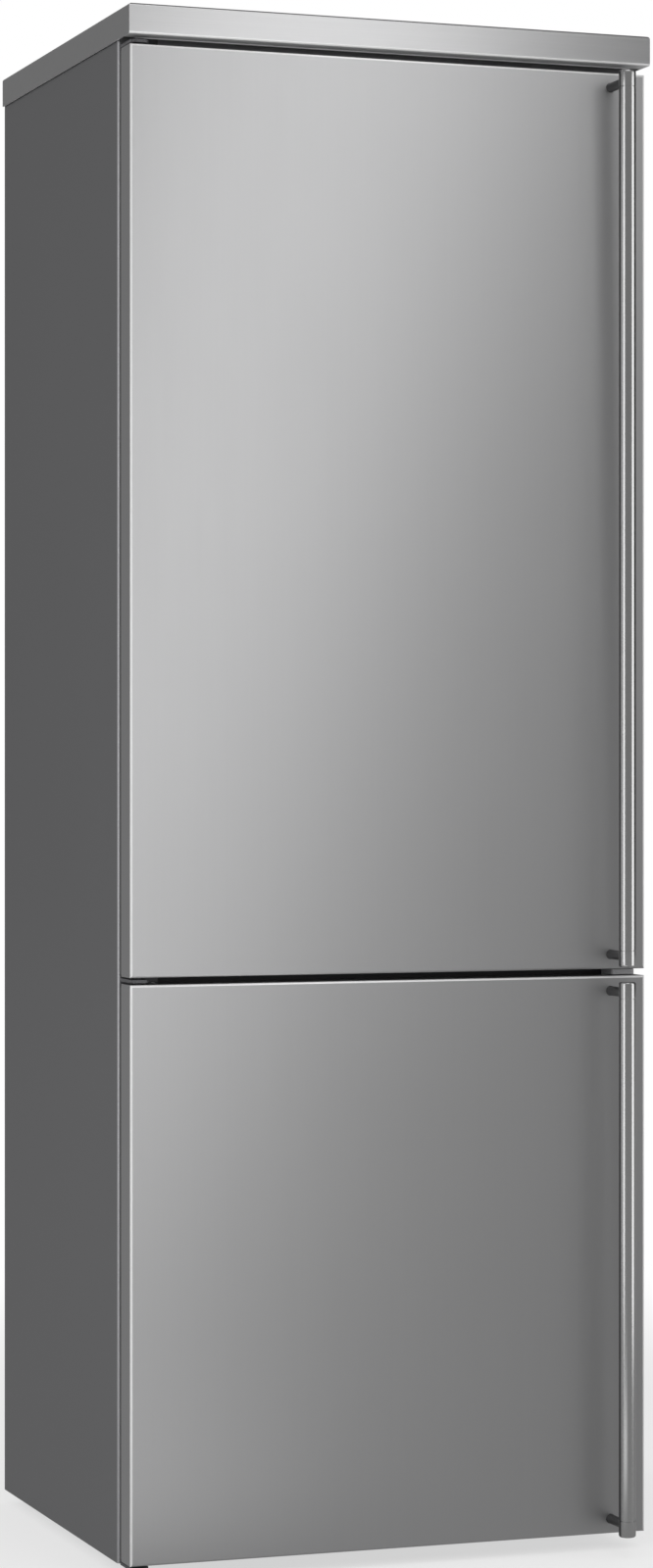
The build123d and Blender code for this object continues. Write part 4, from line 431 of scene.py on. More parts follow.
def handle_tube(name, base, painted_back_shade, post, roughness):
    """Satin steel along a handle, with painted shade: dark on its flanks and posts and darker
    towards the door.
    """
    material, f = new_material(name)
    fine = brushed_lines(f, "Z", 2400.0)
    cloud = f.noise(f.place(), scale=9.0, detail=2.0)
    low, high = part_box("fridge_handle_bar")
    middle = (low.y + high.y) / 2
    radius = (high.x - low.x) / 2
    depth = f.axis(f.place(), "Y")
    behind_front, behind_flanks, on_posts = (
        f.spread(depth, middle + radius * start, middle + radius * end)
        for start, end in (FLANKS_START, FLANKS_END, POSTS_START)
    )
    # painted shade on the flanks, on the posts and on the side towards the door
    back = f.mix(on_posts, (*painted_back_shade, 1.0), (*post, 1.0))
    shaded = f.mix(behind_flanks, (*post, 1.0), back)
    satin = f.tinted(base, fine * 0.7 + cloud * 0.3, 0.03)
    f.surface(
        Base_Color=f.mix(behind_front, satin, shaded),
        Metallic=1.0 - behind_front * 0.3,
        Roughness=brushed_roughness(roughness, fine, cloud) + behind_front * 0.1,
        Normal=f.bump(fine, BRUSHED_DEPTH),
    )
    return material


def textured_paint(name, base, grain, roughness, depth, metallic=0.0):
    """Paint or powder coat with a fine pebbled surface, grain pebbles a metre, and a painted
    highlight on folded edges.
    """
    material, f = new_material(name)
    pebbles = f.noise(f.place(), scale=grain, detail=2.0)
    cloud = f.noise(f.place(), scale=3.0, detail=3.0)
    fold = f.fold()
    # painted highlight: the paint made twice as bright on the marked folded edges
    fold_highlight_paint = [min(1.0, part * FOLD_HIGHLIGHT_BRIGHTNESS) for part in base]
    f.surface(
        Base_Color=f.mix(fold, f.tinted(base, cloud * 0.7 + pebbles * 0.3, 0.07), (*fold_highlight_paint, 1.0)),
        Metallic=metallic,
        Roughness=roughness + (pebbles - 0.5) * 0.12 + (cloud - 0.5) * 0.06,
        Specular_IOR_Level=0.35,
        Normal=f.bump(pebbles, depth),
    )
    return material


def spangled_zinc(name, base):
    """Galvanised sheet: crystal spangles with their own brightness, and faint rolling lines."""
    material, f = new_material(name)
    spangle = f.node("ShaderNodeSeparateColor", None, {"Color": f.cells(95.0, output="Color")})
    lines = f.noise(f.grained("Z", 260.0, 4.0), detail=2.0)
    cloud = f.noise(f.place(), scale=4.0, detail=3.0)
    share = spangle * 0.5 + cloud * 0.35 + lines * 0.15
    f.surface(
        Base_Color=f.tinted(base, share, 0.1),
        Metallic=0.6 + (lines - 0.5) * 0.2,
        Roughness=0.4 + spangle * 0.14 + (cloud - 0.5) * 0.1,
        Normal=f.bump(lines, 0.00001),
    )
    return material


def moulded_plastic(name, base, roughness, grain=900.0, depth=0.00002, coat=0.0):
    """Moulded plastic with a fine mould texture and slow variation of colour and gloss."""
    material, f = new_material(name)
    texture = f.noise(f.place(), scale=grain, detail=2.0)
    ripple = f.noise(f.place(), scale=28.0, detail=2.0)
    cloud = f.noise(f.place(), scale=5.0, detail=2.0)
    f.surface(
        Base_Color=f.tinted(base, cloud * 0.6 + texture * 0.4, 0.03),
        Roughness=roughness + (texture - 0.5) * 0.1 + (cloud - 0.5) * 0.06,
        Coat_Weight=coat,
        Coat_Roughness=0.08,
        Normal=f.bump(texture * 0.6 + ripple * 0.4, depth),
    )
    return material


def clear_moulding(name, base, roughness, frost):
    """Clear plastic or glass: slightly uneven, and frosted by a share of fine noise."""
    material, f = new_material(name)
    ripple = f.noise(f.place(), scale=18.0, detail=2.0)
    fine = f.noise(f.place(), scale=1400.0, detail=1.0)
    f.surface(
        Base_Color=f.tinted(base, ripple, 0.02),
        Roughness=roughness + frost * fine + (ripple - 0.5) * 0.04,
        IOR=1.46,
        Transmission_Weight=1.0,
        Normal=f.bump(ripple, 0.0002, 0.5),
    )
    return material


def copper_tube(name, base):
    """Bare copper, bright where it was drawn and browner in patches."""
    material, f = new_material(name)
    patches = f.noise(f.place(), scale=38.0, detail=4.0, roughness=0.6)
    oxide = f.spread(patches, 0.48, 0.68)
    drawn = f.noise(f.grained("Z", 900.0, 40.0), detail=2.0)
    brown = (base[0] * 0.45, base[1] * 0.42, base[2] * 0.42, 1.0)
    f.surface(
        Base_Color=f.mix(oxide * 0.75, f.tinted(base, drawn, 0.08), brown),
        Metallic=1.0,
        Roughness=0.24 + oxide * 0.25 + (drawn - 0.5) * 0.08,
        Normal=f.bump(drawn, 0.00001),
    )
    return material


def enamelled(name, base):
    """Thick glossy enamel with orange peel."""
    material, f = new_material(name)
    peel = f.noise(f.place(), scale=160.0, detail=2.0)
    dust = f.noise(f.place(), scale=14.0, detail=4.0)
    f.surface(
        Base_Color=f.tinted(base, dust, 0.3),
        Roughness=0.28 + (dust - 0.5) * 0.2,
        Coat_Weight=0.6,
        Coat_Roughness=0.1,
        Normal=f.bump(peel, 0.00015),
    )
    return material


def rigid_foam(name, base):
    """Cut polyurethane foam with open cells."""
    material, f = new_material(name)
    cells = f.cells(420.0)
    cloud = f.noise(f.place(), scale=9.0, detail=3.0)
    f.surface(
        Base_Color=f.tinted(base, cloud * 0.6 + cells * 0.4, 0.16),
        Roughness=0.85 + (cloud - 0.5) * 0.1,
        Normal=f.bump(cells, 0.0006),
    )
    return material


def soft_vinyl(name, base):
    """Soft seal or rubber: matt, with dust in its grain."""
    material, f = new_material(name)
    grain = f.noise(f.place(), scale=700.0, detail=3.0)
    dust = f.noise(f.place(), scale=22.0, detail=4.0)
    f.surface(
        Base_Color=f.tinted(base, dust * 0.7 + grain * 0.3, 0.12),
        Roughness=0.62 + (grain - 0.5) * 0.2,
        Sheen_Weight=0.15,
        Normal=f.bump(grain, 0.00004),
    )
    return material


def light_cover(name, base):
    """Milky cover over a row of diodes, each of which shows as a brighter patch."""
    material, f = new_material(name)
    height = f.axis(f.place(), "Z")
    row = f.math("SINE", height * (2 * math.pi / DIODE_PITCH), 0.0) * 0.5 + 0.5
    haze = f.noise(f.place(), scale=500.0, detail=1.0)
    f.surface(
        Base_Color=f.tinted(base, haze, 0.03),
        Roughness=0.42 + (haze - 0.5) * 0.1,
        Emission_Color=f.tinted((0.85, 0.88, 0.9), row, 0.12),
        Emission_Strength=1.2,
        Normal=f.bump(haze, 0.00003),
    )
    return material


POOL_CENTRE = (-0.4, -0.95, 0.0)
POOL_EDGE = (0.1, 0.65)  # from its centre to where the pool of light begins and ends to fade
SHADE_EDGE = (1.2, 2.8)  # from the origin to where the floor's shade begins and ends to fade
SHADE = 0.4


def studio_floor(s):
    """Floor with shadows near the object, white further off, and a pool of light in its gloss."""
    material, f = new_material("floor")
    mottle = f.noise(f.place(), scale=1.5, detail=3.0)
    plain = f.node("ShaderNodeBsdfDiffuse", None, {"Color": f.tinted(s.floor, mottle, 0.01)})
    white = f.node("ShaderNodeEmission", None, {"Strength": 1.0})
    pool = f.spread(f.distance(POOL_CENTRE), *POOL_EDGE, s.floor_pool, s.floor_gloss)
    mirrored = f.node("ShaderNodeEmission", None, {"Strength": pool})
    near = f.spread(f.distance((0.0, 0.0, 0.0)), *SHADE_EDGE, SHADE, 0.0)
    seen = f.blend(near, white, plain)
    unseen = f.blend(f.ray("Glossy"), plain, mirrored)
    shader = f.blend(f.backdrop(), unseen, seen)
    f.node("ShaderNodeOutputMaterial", None, {"Surface": shader})
    return material


FINISHES = {}


def make_finishes():
    """Makes every material of the object, by the name of its slot in the record."""
    m, p = metals(), plastics()
    FINISHES.update(
        door_steel=brushed_steel("door_steel", m.steel, m.steel_roughness, "Z", 1700.0, 0.025),
        cap_steel=brushed_steel("cap_steel", m.steel, m.steel_roughness - 0.09, "X", 620.0, 0.085),
        handle_steel=handle_tube("handle_steel", m.handle, m.painted_back_shade, m.post, m.handle_roughness),
        grey_paint=textured_paint("grey_paint", p.paint, 1100.0, 0.38, 0.00002, metallic=0.8),
        rail_paint=textured_paint("rail_paint", p.rail_shade, 1100.0, 0.5, 0.00002),
        grey_zinc=textured_paint("grey_zinc", m.hinge, 1500.0, 0.45, 0.00003, metallic=0.5),
        zinc_plate=spangled_zinc("zinc_plate", m.zinc),
        black_enamel=enamelled("black_enamel", m.enamel),
        copper=copper_tube("copper", m.copper),
        bare_aluminium=brushed_steel("bare_aluminium", m.aluminium, 0.36, "Z", 900.0, 0.06),
        white_liner=moulded_plastic("white_liner", p.liner, 0.3, grain=600.0, coat=0.25),
        grey_plastic=moulded_plastic("grey_plastic", p.grey, 0.45),
        black_plastic=moulded_plastic("black_plastic", p.black, 0.5, depth=0.00004),
        silver_trim=moulded_plastic("silver_trim", p.silver, 0.3, depth=0.00001, coat=0.3),
        clear_plastic=clear_moulding("clear_plastic", p.clear, 0.04, 0.05),
        toughened_glass=clear_moulding("toughened_glass", p.glass, 0.01, 0.015),
        seal_grey=soft_vinyl("seal_grey", p.vinyl_and_gap_shade),
        black_rubber=soft_vinyl("black_rubber", p.rubber),
        insulation=rigid_foam("insulation", p.foam),
        light_cover=light_cover("light_cover", p.light),
    )


# ---------------------------------------------------------------- mesh building


def slot_of(node):
    """The record's material slot of a CAD node."""
    for part in frame["record"]["subparts"]:
        if part["node"] == node:
            return part["material_slot"]
    raise RuntimeError(f"the record has no sub-part {node}")


def body_of(node):
    """The body that a CAD node rides on."""
    return NODES[node]["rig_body"]


def finish_piece(bm, name, node, finish):
    """Turns a bmesh into a piece that rides with a CAD node and takes a finish."""
    mesh = bpy.data.meshes.new(name)
    bm.to_mesh(mesh)
    bm.free()
    mesh.shade_smooth()
    mesh.set_sharp_from_angle(angle=SMOOTH_ANGLE)
    mesh.materials.append(FINISHES[finish])
    piece = bpy.data.objects.new(name, mesh)
    bpy.context.scene.collection.objects.link(piece)
    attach(piece, body_of(node))
    return piece


def merged(node):
    """A bmesh of a CAD node with its loose triangles joined into whole faces."""
    bm = bmesh.new()
    bm.from_mesh(NODES[node].data)
    bmesh.ops.remove_doubles(bm, verts=bm.verts, dist=MERGE_DISTANCE)
    bmesh.ops.dissolve_limit(bm, angle_limit=FLAT_ANGLE, verts=bm.verts, edges=bm.edges)
    return bm


def mark_fold_highlights(mesh, low, high, flat=0.0):
    """Marks the curved faces between two corners, and in part the flat ones, for a painted
    highlight.
    """
    marks = mesh.attributes.new("fold", "FLOAT", "FACE")
    for face, mark in zip(mesh.polygons, marks.data):
        squareness = max(abs(part) for part in face.normal)
        if all(a <= c <= b for a, c, b in zip(low, face.center, high)):
            mark.value = max(flat, min(1.0, (1 - squareness) / FOLD_TURN))


def smoothed(node, name, finish=None, soften=0.0, highlight_region=None):
    """Makes a smooth piece in a CAD node's own shape, with softened edges, that stands for it."""
    piece = finish_piece(merged(node), name, node, finish or slot_of(node))
    # marks the folded faces within the region for a painted highlight
    if highlight_region:
        mark_fold_highlights(piece.data, *highlight_region)
    if soften:
        bevel = piece.modifiers.new("soft_edges", "BEVEL")
        bevel.width = soften
        bevel.segments = 2
        bevel.limit_method = "ANGLE"
        bevel.angle_limit = SOFTEN_ANGLE
    flat_faces = piece.modifiers.new("flat_faces", "WEIGHTED_NORMAL")
    flat_faces.keep_sharp = True
    flat_faces.weight = 100
    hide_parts(node)


def dress(node):
    """Gives a CAD node that stays its finish."""
    mesh = NODES[node].data
    mesh.materials.clear()
    mesh.materials.append(FINISHES[slot_of(node)])


def cube(bm, low, high):
    """Adds a box between two corners."""
    size = [b - a for a, b in zip(low, high)]
    middle = [(a + b) / 2 for a, b in zip(low, high)]
    matrix = Matrix.Translation(middle) @ Matrix.Diagonal((*size, 1.0))
    bmesh.ops.create_cube(bm, size=1.0, matrix=matrix)


def turned(bm, outline, origin, axis, steps=TURN_STEPS):
    """Adds an outline of (radius, distance along the axis) points, spun a full turn."""
    axis = Vector(axis).normalized()
    side = axis.orthogonal().normalized()
    points = [Vector(origin) + axis * along + side * radius for radius, along in outline]
    verts = [bm.verts.new(point) for point in points]
    edges = [bm.edges.new(pair) for pair in zip(verts, verts[1:])]
    bmesh.ops.spin(
        bm, geom=verts + edges, cent=origin, axis=axis, angle=2 * math.pi, steps=steps,
        use_merge=True,
    )
    bmesh.ops.remove_doubles(bm, verts=bm.verts, dist=MERGE_DISTANCE)
    bmesh.ops.recalc_face_normals(bm, faces=bm.faces)


def studs(name, node, finish, outline, places, axis):
    """Makes a piece of equal turned studs, such as screw heads, on a CAD node."""
    bm = bmesh.new()
    for place in places:
        turned(bm, outline, place, axis, steps=STUD_STEPS)
    finish_piece(bm, name, node, finish)


# ---------------------------------------------------------------- studio


class Softbox(NamedTuple):
    """Where an area lamp stands, what it points at, its width and height, and its roll."""

    place: tuple
    target: tuple
    size: tuple
    roll: float = 0.0


SOFTBOXES = {
    "key": Softbox((0.1, -1.6, 1.45), (-0.1, -0.27, 1.3), (0.6, 2.7), math.radians(-17.0)),
    "right": Softbox((1.75, -1.25, 1.15), (0.3, -0.33, 1.0), (1.0, 2.4)),
    "left": Softbox((-1.75, -1.1, 1.15), (0.3, -0.33, 1.0), (0.9, 2.4)),
    "top": Softbox((0.0, -1.4, 3.3), (0.0, -0.3, 1.6), (1.6, 1.0)),
    "rear": Softbox((-2.2, 1.5, 1.5), (0.0, 0.32, 0.8), (0.8, 1.8)),
}
SENSOR_WIDTH = 36.0  # in millimetres, as the lens
CLIP = (0.1, 60.0)
FLOOR_RADIUS = 14.0
# The black flag fills in between these parts of a direction to the right and to the back.
FLAG_RIGHT = (0.1, 0.35)
FLAG_BACK = (-0.35, 0.0)

HANDLES = [f"{door}_handle_{part}" for door in ("fridge", "freezer") for part in ("tube", "ends")]
FRONTS = ["fridge_door_panel", "freezer_door_panel", "roof_cap"]
SPARED = {
    "key": HANDLES,
    "right": FRONTS,
    "rear": [*HANDLES, *FRONTS, "cabinet_sides_and_roof"],
}


def spare(lamp, pieces):
    """Keeps a lamp's light off some pieces."""
    spared = bpy.data.collections.new(f"spared_by_{lamp}")
    bpy.data.objects[f"{lamp}_softbox"].light_linking.receiver_collection = spared
    for piece in pieces:
        spared.objects.link(bpy.data.objects[piece])
    for member in spared.collection_objects:
        member.light_linking.link_state = "EXCLUDE"


# ---------------------------------------------------------------- operators


class PieceOperator(bpy.types.Operator):
    """Shared ground of the operators that build pieces."""

    bl_options = {"REGISTER", "UNDO"}

    def execute(self, context):
        self.build()
        return {"FINISHED"}


class FRIDGE_OT_stage(PieceOperator):
    """Make the camera, the lamps, the room and the floor"""

    bl_idname = "fridge.stage"
    bl_label = "Camera and studio"

    def build(self):
        s = studio()
        self.camera(s)
        for name, softbox in SOFTBOXES.items():
            self.lamp(name, getattr(s, f"{name}_power"), softbox)
        self.room(s)
        self.floor(s)

    def camera(self, s):
        data = bpy.data.cameras.new("camera")
        data.lens = s.lens
        data.sensor_width = SENSOR_WIDTH
        data.sensor_fit = "AUTO"
        data.shift_y = s.shift_up
        data.clip_start, data.clip_end = CLIP
        camera = bpy.data.objects.new("camera", data)
        camera.location = s.camera_place
        camera.rotation_euler = (math.radians(90.0), 0.0, -s.camera_turn)
        bpy.context.scene.collection.objects.link(camera)
        bpy.context.scene.camera = camera
        bpy.context.scene.view_settings.view_transform = "Standard"

    def lamp(self, name, power, softbox):
        data = bpy.data.lights.new(name + "_softbox", "AREA")
        data.energy = power
        data.shape = "RECTANGLE"
        data.size, data.size_y = softbox.size
        lamp = bpy.data.objects.new(name + "_softbox", data)
        toward = Vector(softbox.target) - Vector(softbox.place)
        aim = toward.to_track_quat("-Z", "Y").to_matrix().to_4x4()
        roll = Matrix.Rotation(softbox.roll, 4, "Z")
        lamp.matrix_world = Matrix.Translation(softbox.place) @ aim @ roll
        lamp.visible_camera = False
        bpy.context.scene.collection.objects.link(lamp)

    def room(self, s):
        world = bpy.data.worlds.new("room")
        world.use_nodes = True
        bpy.context.scene.world = world
        f = Finish(world.node_tree)
        white = f.backdrop()
        glossy = f.ray("Glossy")
        toward = f.node("ShaderNodeTexCoord", output="Generated")
        right = f.spread(f.axis(toward, "X"), *FLAG_RIGHT)
        back = f.spread(f.axis(toward, "Y"), *FLAG_BACK)
        gloss = (1 - right * back * s.room_flag) * s.room_gloss
        level = glossy * gloss + (1 - glossy) * s.room_light
        values = {"Color": (1.0, 1.0, 1.0, 1.0), "Strength": white + (1 - white) * level}
        light = f.node("ShaderNodeBackground", None, values)
        f.node("ShaderNodeOutputWorld", None, {"Surface": light})

    def floor(self, s):
        bm = bmesh.new()
        bmesh.ops.create_circle(bm, cap_ends=True, radius=FLOOR_RADIUS, segments=96)
        mesh = bpy.data.meshes.new("floor")
        bm.to_mesh(mesh)
        bm.free()
        mesh.materials.append(studio_floor(s))
        floor = bpy.data.objects.new("floor", mesh)
        bpy.context.scene.collection.objects.link(floor)


class FRIDGE_OT_doors(PieceOperator):
    """Make the two doors' steel pans, liners, seals and hinge bushes"""

    bl_idname = "fridge.doors"
    bl_label = "Doors"

    def build(self):
        soft = details().soft_edge
        for door in ("fridge_door", "freezer_door"):
            low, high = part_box(f"{door}_skin")
            # the door's folded edges get a painted highlight, all but its lowest strip
            highlight_region = ((low.x, low.y, low.z + PLAIN_STRIP), high)
            smoothed(f"{door}_skin", f"{door}_panel", "door_steel", highlight_region=highlight_region)
            smoothed(f"{door}_liner", f"{door}_inner_liner", soften=soft * 2)
            smoothed(f"{door}_seal", f"{door}_magnet_seal", soften=soft * 2)
            smoothed(f"{door}_bushes", f"{door}_hinge_bushes")
            dress(f"{door}_foam")
            self.seal_lips_and_gap_shade(door)

    def seal_lips_and_gap_shade(self, door):
        """Black lips behind the door's side edges, joined to the seal by webs, which stand for the
        seal's lip and, being black, put painted shade in the gap beside the door.
        """
        d = details()
        skin_low, skin_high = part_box(f"{door}_skin")
        seal_low, seal_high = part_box(f"{door}_seal")
        y = skin_high.y
        bottom, top = skin_low.z + LIP_END_INSET, skin_high.z - LIP_END_INSET
        bm = bmesh.new()
        for edge, seal, turn in ((skin_low.x, seal_low.x, 1), (skin_high.x, seal_high.x, -1)):
            outer = edge + turn * LIP_INSET
            left, right = sorted((outer, outer + turn * d.lip_thickness))
            cube(bm, (left, y, bottom), (right, y + d.lip_depth, top))
            left, right = sorted((outer, seal + turn * LIP_INSET))
            cube(bm, (left, y, seal_low.z), (right, y + d.lip_thickness, seal_high.z))
        finish_piece(bm, f"{door}_seal_lips", f"{door}_seal", "black_rubber")


class FRIDGE_OT_handles(PieceOperator):
    """Make the two bar handles with their end caps and posts"""

    bl_idname = "fridge.handles"
    bl_label = "Handles"

    def build(self):
        for door in ("fridge", "freezer"):
            self.tube(door)
            self.mounts(door)

    def tube(self, door):
        node = f"{door}_handle_bar"
        low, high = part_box(node)
        centre = (low + high) / 2
        radius = (high.x - low.x) / 2
        bm = bmesh.new()
        outline = [(radius, low.z), (radius, high.z)]
        turned(bm, outline, (centre.x, centre.y, 0.0), (0, 0, 1))
        bmesh.ops.solidify(bm, geom=bm.faces, thickness=TUBE_WALL)
        piece = finish_piece(bm, f"{door}_handle_tube", node, "handle_steel")
        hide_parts(node)

    def mounts(self, door):
        node = f"{door}_handle_mounts"
        low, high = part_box(node)
        bar_low, bar_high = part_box(f"{door}_handle_bar")
        radius = (bar_high.x - bar_low.x) / 2
        x = (low.x + high.x) / 2
        y = low.y + radius
        bm = bmesh.new()
        for tip, seat, sign in ((low.z, bar_low.z, 1), (high.z, bar_high.z, -1)):
            self.cap(bm, x, y, radius, tip, seat, sign)
            self.post(bm, x, y, tip + sign * POST_FROM_TIP, high.y)
        bmesh.ops.recalc_face_normals(bm, faces=bm.faces)
        piece = finish_piece(bm, f"{door}_handle_ends", node, "handle_steel")
        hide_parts(node)

    def cap(self, bm, x, y, radius, tip, seat, sign):
        """An end cap from its rounded tip to its ring groove at the tube's seat."""
        d = details()
        outline = [(0.0, tip)]
        for step in range(TIP_STEPS + 1):
            turn = math.radians(90.0) * step / TIP_STEPS
            inward = d.tip_radius * (1 - math.sin(turn))
            along = d.tip_radius * (1 - math.cos(turn))
            outline.append((radius - inward, tip + sign * along))
        groove = seat - sign * d.groove_width
        outline += [
            (radius, groove),
            (radius - d.groove_depth, groove + sign * d.groove_width * GROOVE_SLOPE),
            (radius - d.groove_depth, seat),
            (0.0, seat),
        ]
        turned(bm, outline, (x, y, 0.0), (0, 0, 1))

    def post(self, bm, x, y, z, door_y):
        """A post from the handle's middle line to the door, flared at its foot."""
        d = details()
        reach = door_y - y
        outline = [
            (0.0, 0.0),
            (d.post_radius, 0.0),
            (d.post_radius, reach - d.post_foot),
            (d.post_radius + d.post_foot / 2, reach),
            (0.0, reach),
        ]
        turned(bm, outline, (x, y, z), (0, 1, 0), steps=POST_STEPS)


class FRIDGE_OT_cabinet(PieceOperator):
    """Make the cabinet's shell, cap, rails, liners and back, and place the lamps' exceptions"""

    bl_idname = "fridge.cabinet"
    bl_label = "Cabinet and cap"

    def build(self):
        soft = details().soft_edge
        low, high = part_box("outer_wrapper")
        # the front folded edge of the cabinet's sides gets a painted highlight
        front = (low, (high.x, low.y + FRONT_STRIP, high.z))
        smoothed("outer_wrapper", "cabinet_sides_and_roof", highlight_region=front)
        low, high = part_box("top_cap")
        # the cap's lowest strip gets a painted highlight, in part also on its flat faces
        lip = (low, (high.x, high.y, low.z + CAP_LIP), CAP_LIP_HIGHLIGHT_SHARE)
        smoothed("top_cap", "roof_cap", "cap_steel", highlight_region=lip)
        # near-black paint on the rails as painted shade in the gap between the doors
        smoothed("front_rails", "front_cross_rails", "rail_paint")
        smoothed("fridge_liner", "fridge_inner_box", soften=soft * 2)
        smoothed("freezer_liner", "freezer_inner_box", soften=soft * 2)
        smoothed("back_panel", "pressed_back_panel")
        smoothed("base_plate", "floor_pan")
        smoothed("bay_shroud", "machine_bay_shroud")
        smoothed("wall_spacers", "rear_wall_spacers", soften=soft * 2)
        dress("cabinet_foam")
        self.back_screws()
        for lamp, pieces in SPARED.items():
            spare(lamp, pieces)

    def back_screws(self):
        """Round screw heads up both sides and along the top of the back panel."""
        low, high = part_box("outer_wrapper")
        head = SCREW_HEAD
        crown = [(0, head / 2), (head * 0.55, head * 0.45), (head * 0.95, head / 5)]
        outline = [*crown, (head, 0), (0, 0)]
        first, last = low.z + SCREW_BOTTOM, high.z - SCREW_TOP
        levels = [first + (last - first) * row / (SCREW_ROWS - 1) for row in range(SCREW_ROWS)]
        sides = (low.x + SCREW_INSET, high.x - SCREW_INSET)
        places = [(x, high.y, z) for x in sides for z in levels]
        places += [(x, high.y, high.z - SCREW_INSET) for x in TOP_SCREWS]
        studs("back_panel_screws", "outer_wrapper", "zinc_plate", outline, places, (0, 1, 0))


class FRIDGE_OT_hinges(PieceOperator):
    """Make the hinges, their screws and the cover over the unused holes"""

    bl_idname = "fridge.hinges"
    bl_label = "Hinges"

    def build(self):
        soft = details().soft_edge
        for place in ("top", "middle", "bottom"):
            smoothed(f"{place}_hinge", f"{place}_hinge_leaf", soften=soft)
        smoothed("hinge_hole_cover", "hinge_hole_plug", soften=soft)
        smoothed("hinge_screws", "hinge_screw_heads")


class FRIDGE_OT_interior(PieceOperator):
    """Make the shelves, the ducts, the light covers and the control panel with its buttons"""

    bl_idname = "fridge.interior"
    bl_label = "Interior"

    def build(self):
        soft = details().soft_edge
        smoothed("glass_shelves", "glass_shelf_plates", soften=soft * 2)
        smoothed("shelf_trims", "shelf_front_trims")
        smoothed("fridge_duct", "fridge_air_duct", soften=soft)
        smoothed("freezer_duct", "evaporator_cover", soften=soft)
        smoothed("led_strips", "light_strip_covers")
        smoothed("control_panel", "control_panel_housing", soften=soft)
        smoothed("cooling_button", "cooling_push_button", soften=soft)
        smoothed("freezing_button", "freezing_push_button", soften=soft)
        self.indicators()

    def indicators(self):
        """A row of five small lenses in the sloping face of the control panel."""
        low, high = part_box("control_panel")
        half = (high.z - low.z) / 2
        lens = LENS_RADIUS
        dome = [(0, lens / 4), (lens * 0.7, lens / 5), (lens, 0)]
        outline = [*dome, (lens, -lens / 4), (0, -lens / 4)]
        places = [(LENS_PITCH * i, low.y + half, high.z - half) for i in range(-2, 3)]
        studs("indicator_lenses", "control_panel", "light_cover", outline, places, (0, -1, -1))


class FRIDGE_OT_containers(PieceOperator):
    """Make the drawers, the balconies, the dairy lid and the bottle stop"""

    bl_idname = "fridge.containers"
    bl_label = "Drawers and balconies"

    def build(self):
        soft = details().soft_edge
        for name in ("vegetable_drawer", "chill_drawer"):
            smoothed(name, f"{name}_bin", soften=soft)
        for level in ("lower", "middle", "upper"):
            smoothed(f"freezer_drawer_{level}", f"freezer_drawer_{level}_bin", soften=soft)
        for name in ("dairy_balcony", "middle_balcony", "bottle_balcony"):
            smoothed(name, f"{name}_tray", soften=soft)
        smoothed("dairy_lid", "dairy_lid_cover", soften=soft)
        smoothed("bottle_stop", "bottle_stop_clip", soften=soft)


class FRIDGE_OT_airflow(PieceOperator):
    """Make the fans, their motors and the evaporator"""

    bl_idname = "fridge.airflow"
    bl_label = "Fans and evaporator"

    def build(self):
        for name in ("fridge_fan", "freezer_fan"):
            smoothed(name, f"{name}_wheel")
        smoothed("fan_motors", "fan_motor_cans")
        smoothed("evaporator", "evaporator_coil")


class FRIDGE_OT_machine_bay(PieceOperator):
    """Make the compressor, its box, mounts and pipes, and the drip tray"""

    bl_idname = "fridge.machine_bay"
    bl_label = "Machine bay"

    def build(self):
        soft = details().soft_edge
        smoothed("compressor", "compressor_can", soften=soft)
        smoothed("compressor_grommets", "compressor_mounts", soften=soft)
        smoothed("terminal_box", "terminal_box_cover", soften=soft * 2)
        smoothed("drip_tray", "defrost_water_tray", soften=soft)
        smoothed("refrigerant_pipes", "refrigerant_tubing")


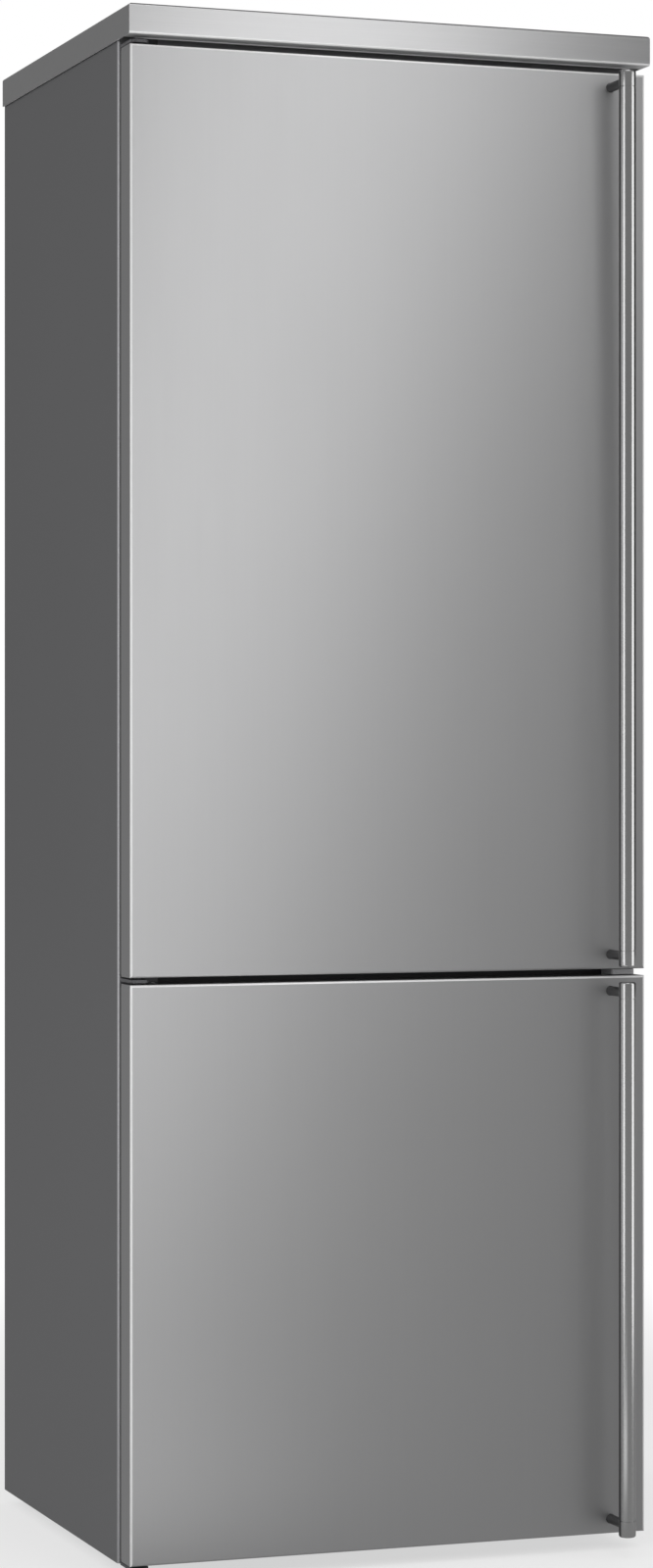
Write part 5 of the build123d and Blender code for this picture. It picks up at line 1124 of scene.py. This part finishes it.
class FRIDGE_OT_feet(PieceOperator):
    """Make the levelling feet and the rollers"""

    bl_idname = "fridge.feet"
    bl_label = "Feet and rollers"

    def build(self):
        soft = details().soft_edge
        for side in ("left", "right"):
            smoothed(f"front_foot_{side}", f"levelling_foot_{side}", soften=soft)
            smoothed(f"roller_{side}", f"rear_roller_{side}", soften=soft)


class FRIDGE_OT_finishes(PieceOperator):
    """Make the materials of every piece"""

    bl_idname = "fridge.finishes"
    bl_label = "Finishes"

    def build(self):
        make_finishes()


STEPS = (
    FRIDGE_OT_stage,
    FRIDGE_OT_finishes,
    FRIDGE_OT_doors,
    FRIDGE_OT_handles,
    FRIDGE_OT_cabinet,
    FRIDGE_OT_hinges,
    FRIDGE_OT_interior,
    FRIDGE_OT_containers,
    FRIDGE_OT_airflow,
    FRIDGE_OT_machine_bay,
    FRIDGE_OT_feet,
)


class FRIDGE_PT_panel(bpy.types.Panel):
    """Lists the settings and the building steps"""

    bl_label = "Refrigerator"
    bl_idname = "FRIDGE_PT_panel"
    bl_space_type = "VIEW_3D"
    bl_region_type = "UI"
    bl_category = "Refrigerator"

    def draw(self, context):
        for settings in (metals(), plastics(), details(), studio()):
            box = self.layout.box()
            for name in settings.__annotations__:
                box.prop(settings, name)
        for step in STEPS:
            self.layout.operator(step.bl_idname)


GROUPS = {
    "fridge_metals": MetalSettings,
    "fridge_plastics": PlasticSettings,
    "fridge_details": DetailSettings,
    "fridge_studio": StudioSettings,
}


def register():
    """Registers the settings, the operators and the panel."""
    for name, group in GROUPS.items():
        bpy.utils.register_class(group)
        setattr(bpy.types.Scene, name, PointerProperty(type=group))
    for step in STEPS:
        bpy.utils.register_class(step)
    bpy.utils.register_class(FRIDGE_PT_panel)


def unregister():
    """Takes the panel, the operators and the settings away again."""
    bpy.utils.unregister_class(FRIDGE_PT_panel)
    for step in reversed(STEPS):
        bpy.utils.unregister_class(step)
    for name, group in GROUPS.items():
        delattr(bpy.types.Scene, name)
        bpy.utils.unregister_class(group)


def main():
    """Builds the whole scene."""
    register()
    for step in STEPS:
        area, name = step.bl_idname.split(".")
        getattr(getattr(bpy.ops, area), name)()


if __name__ == "__main__":
    main()
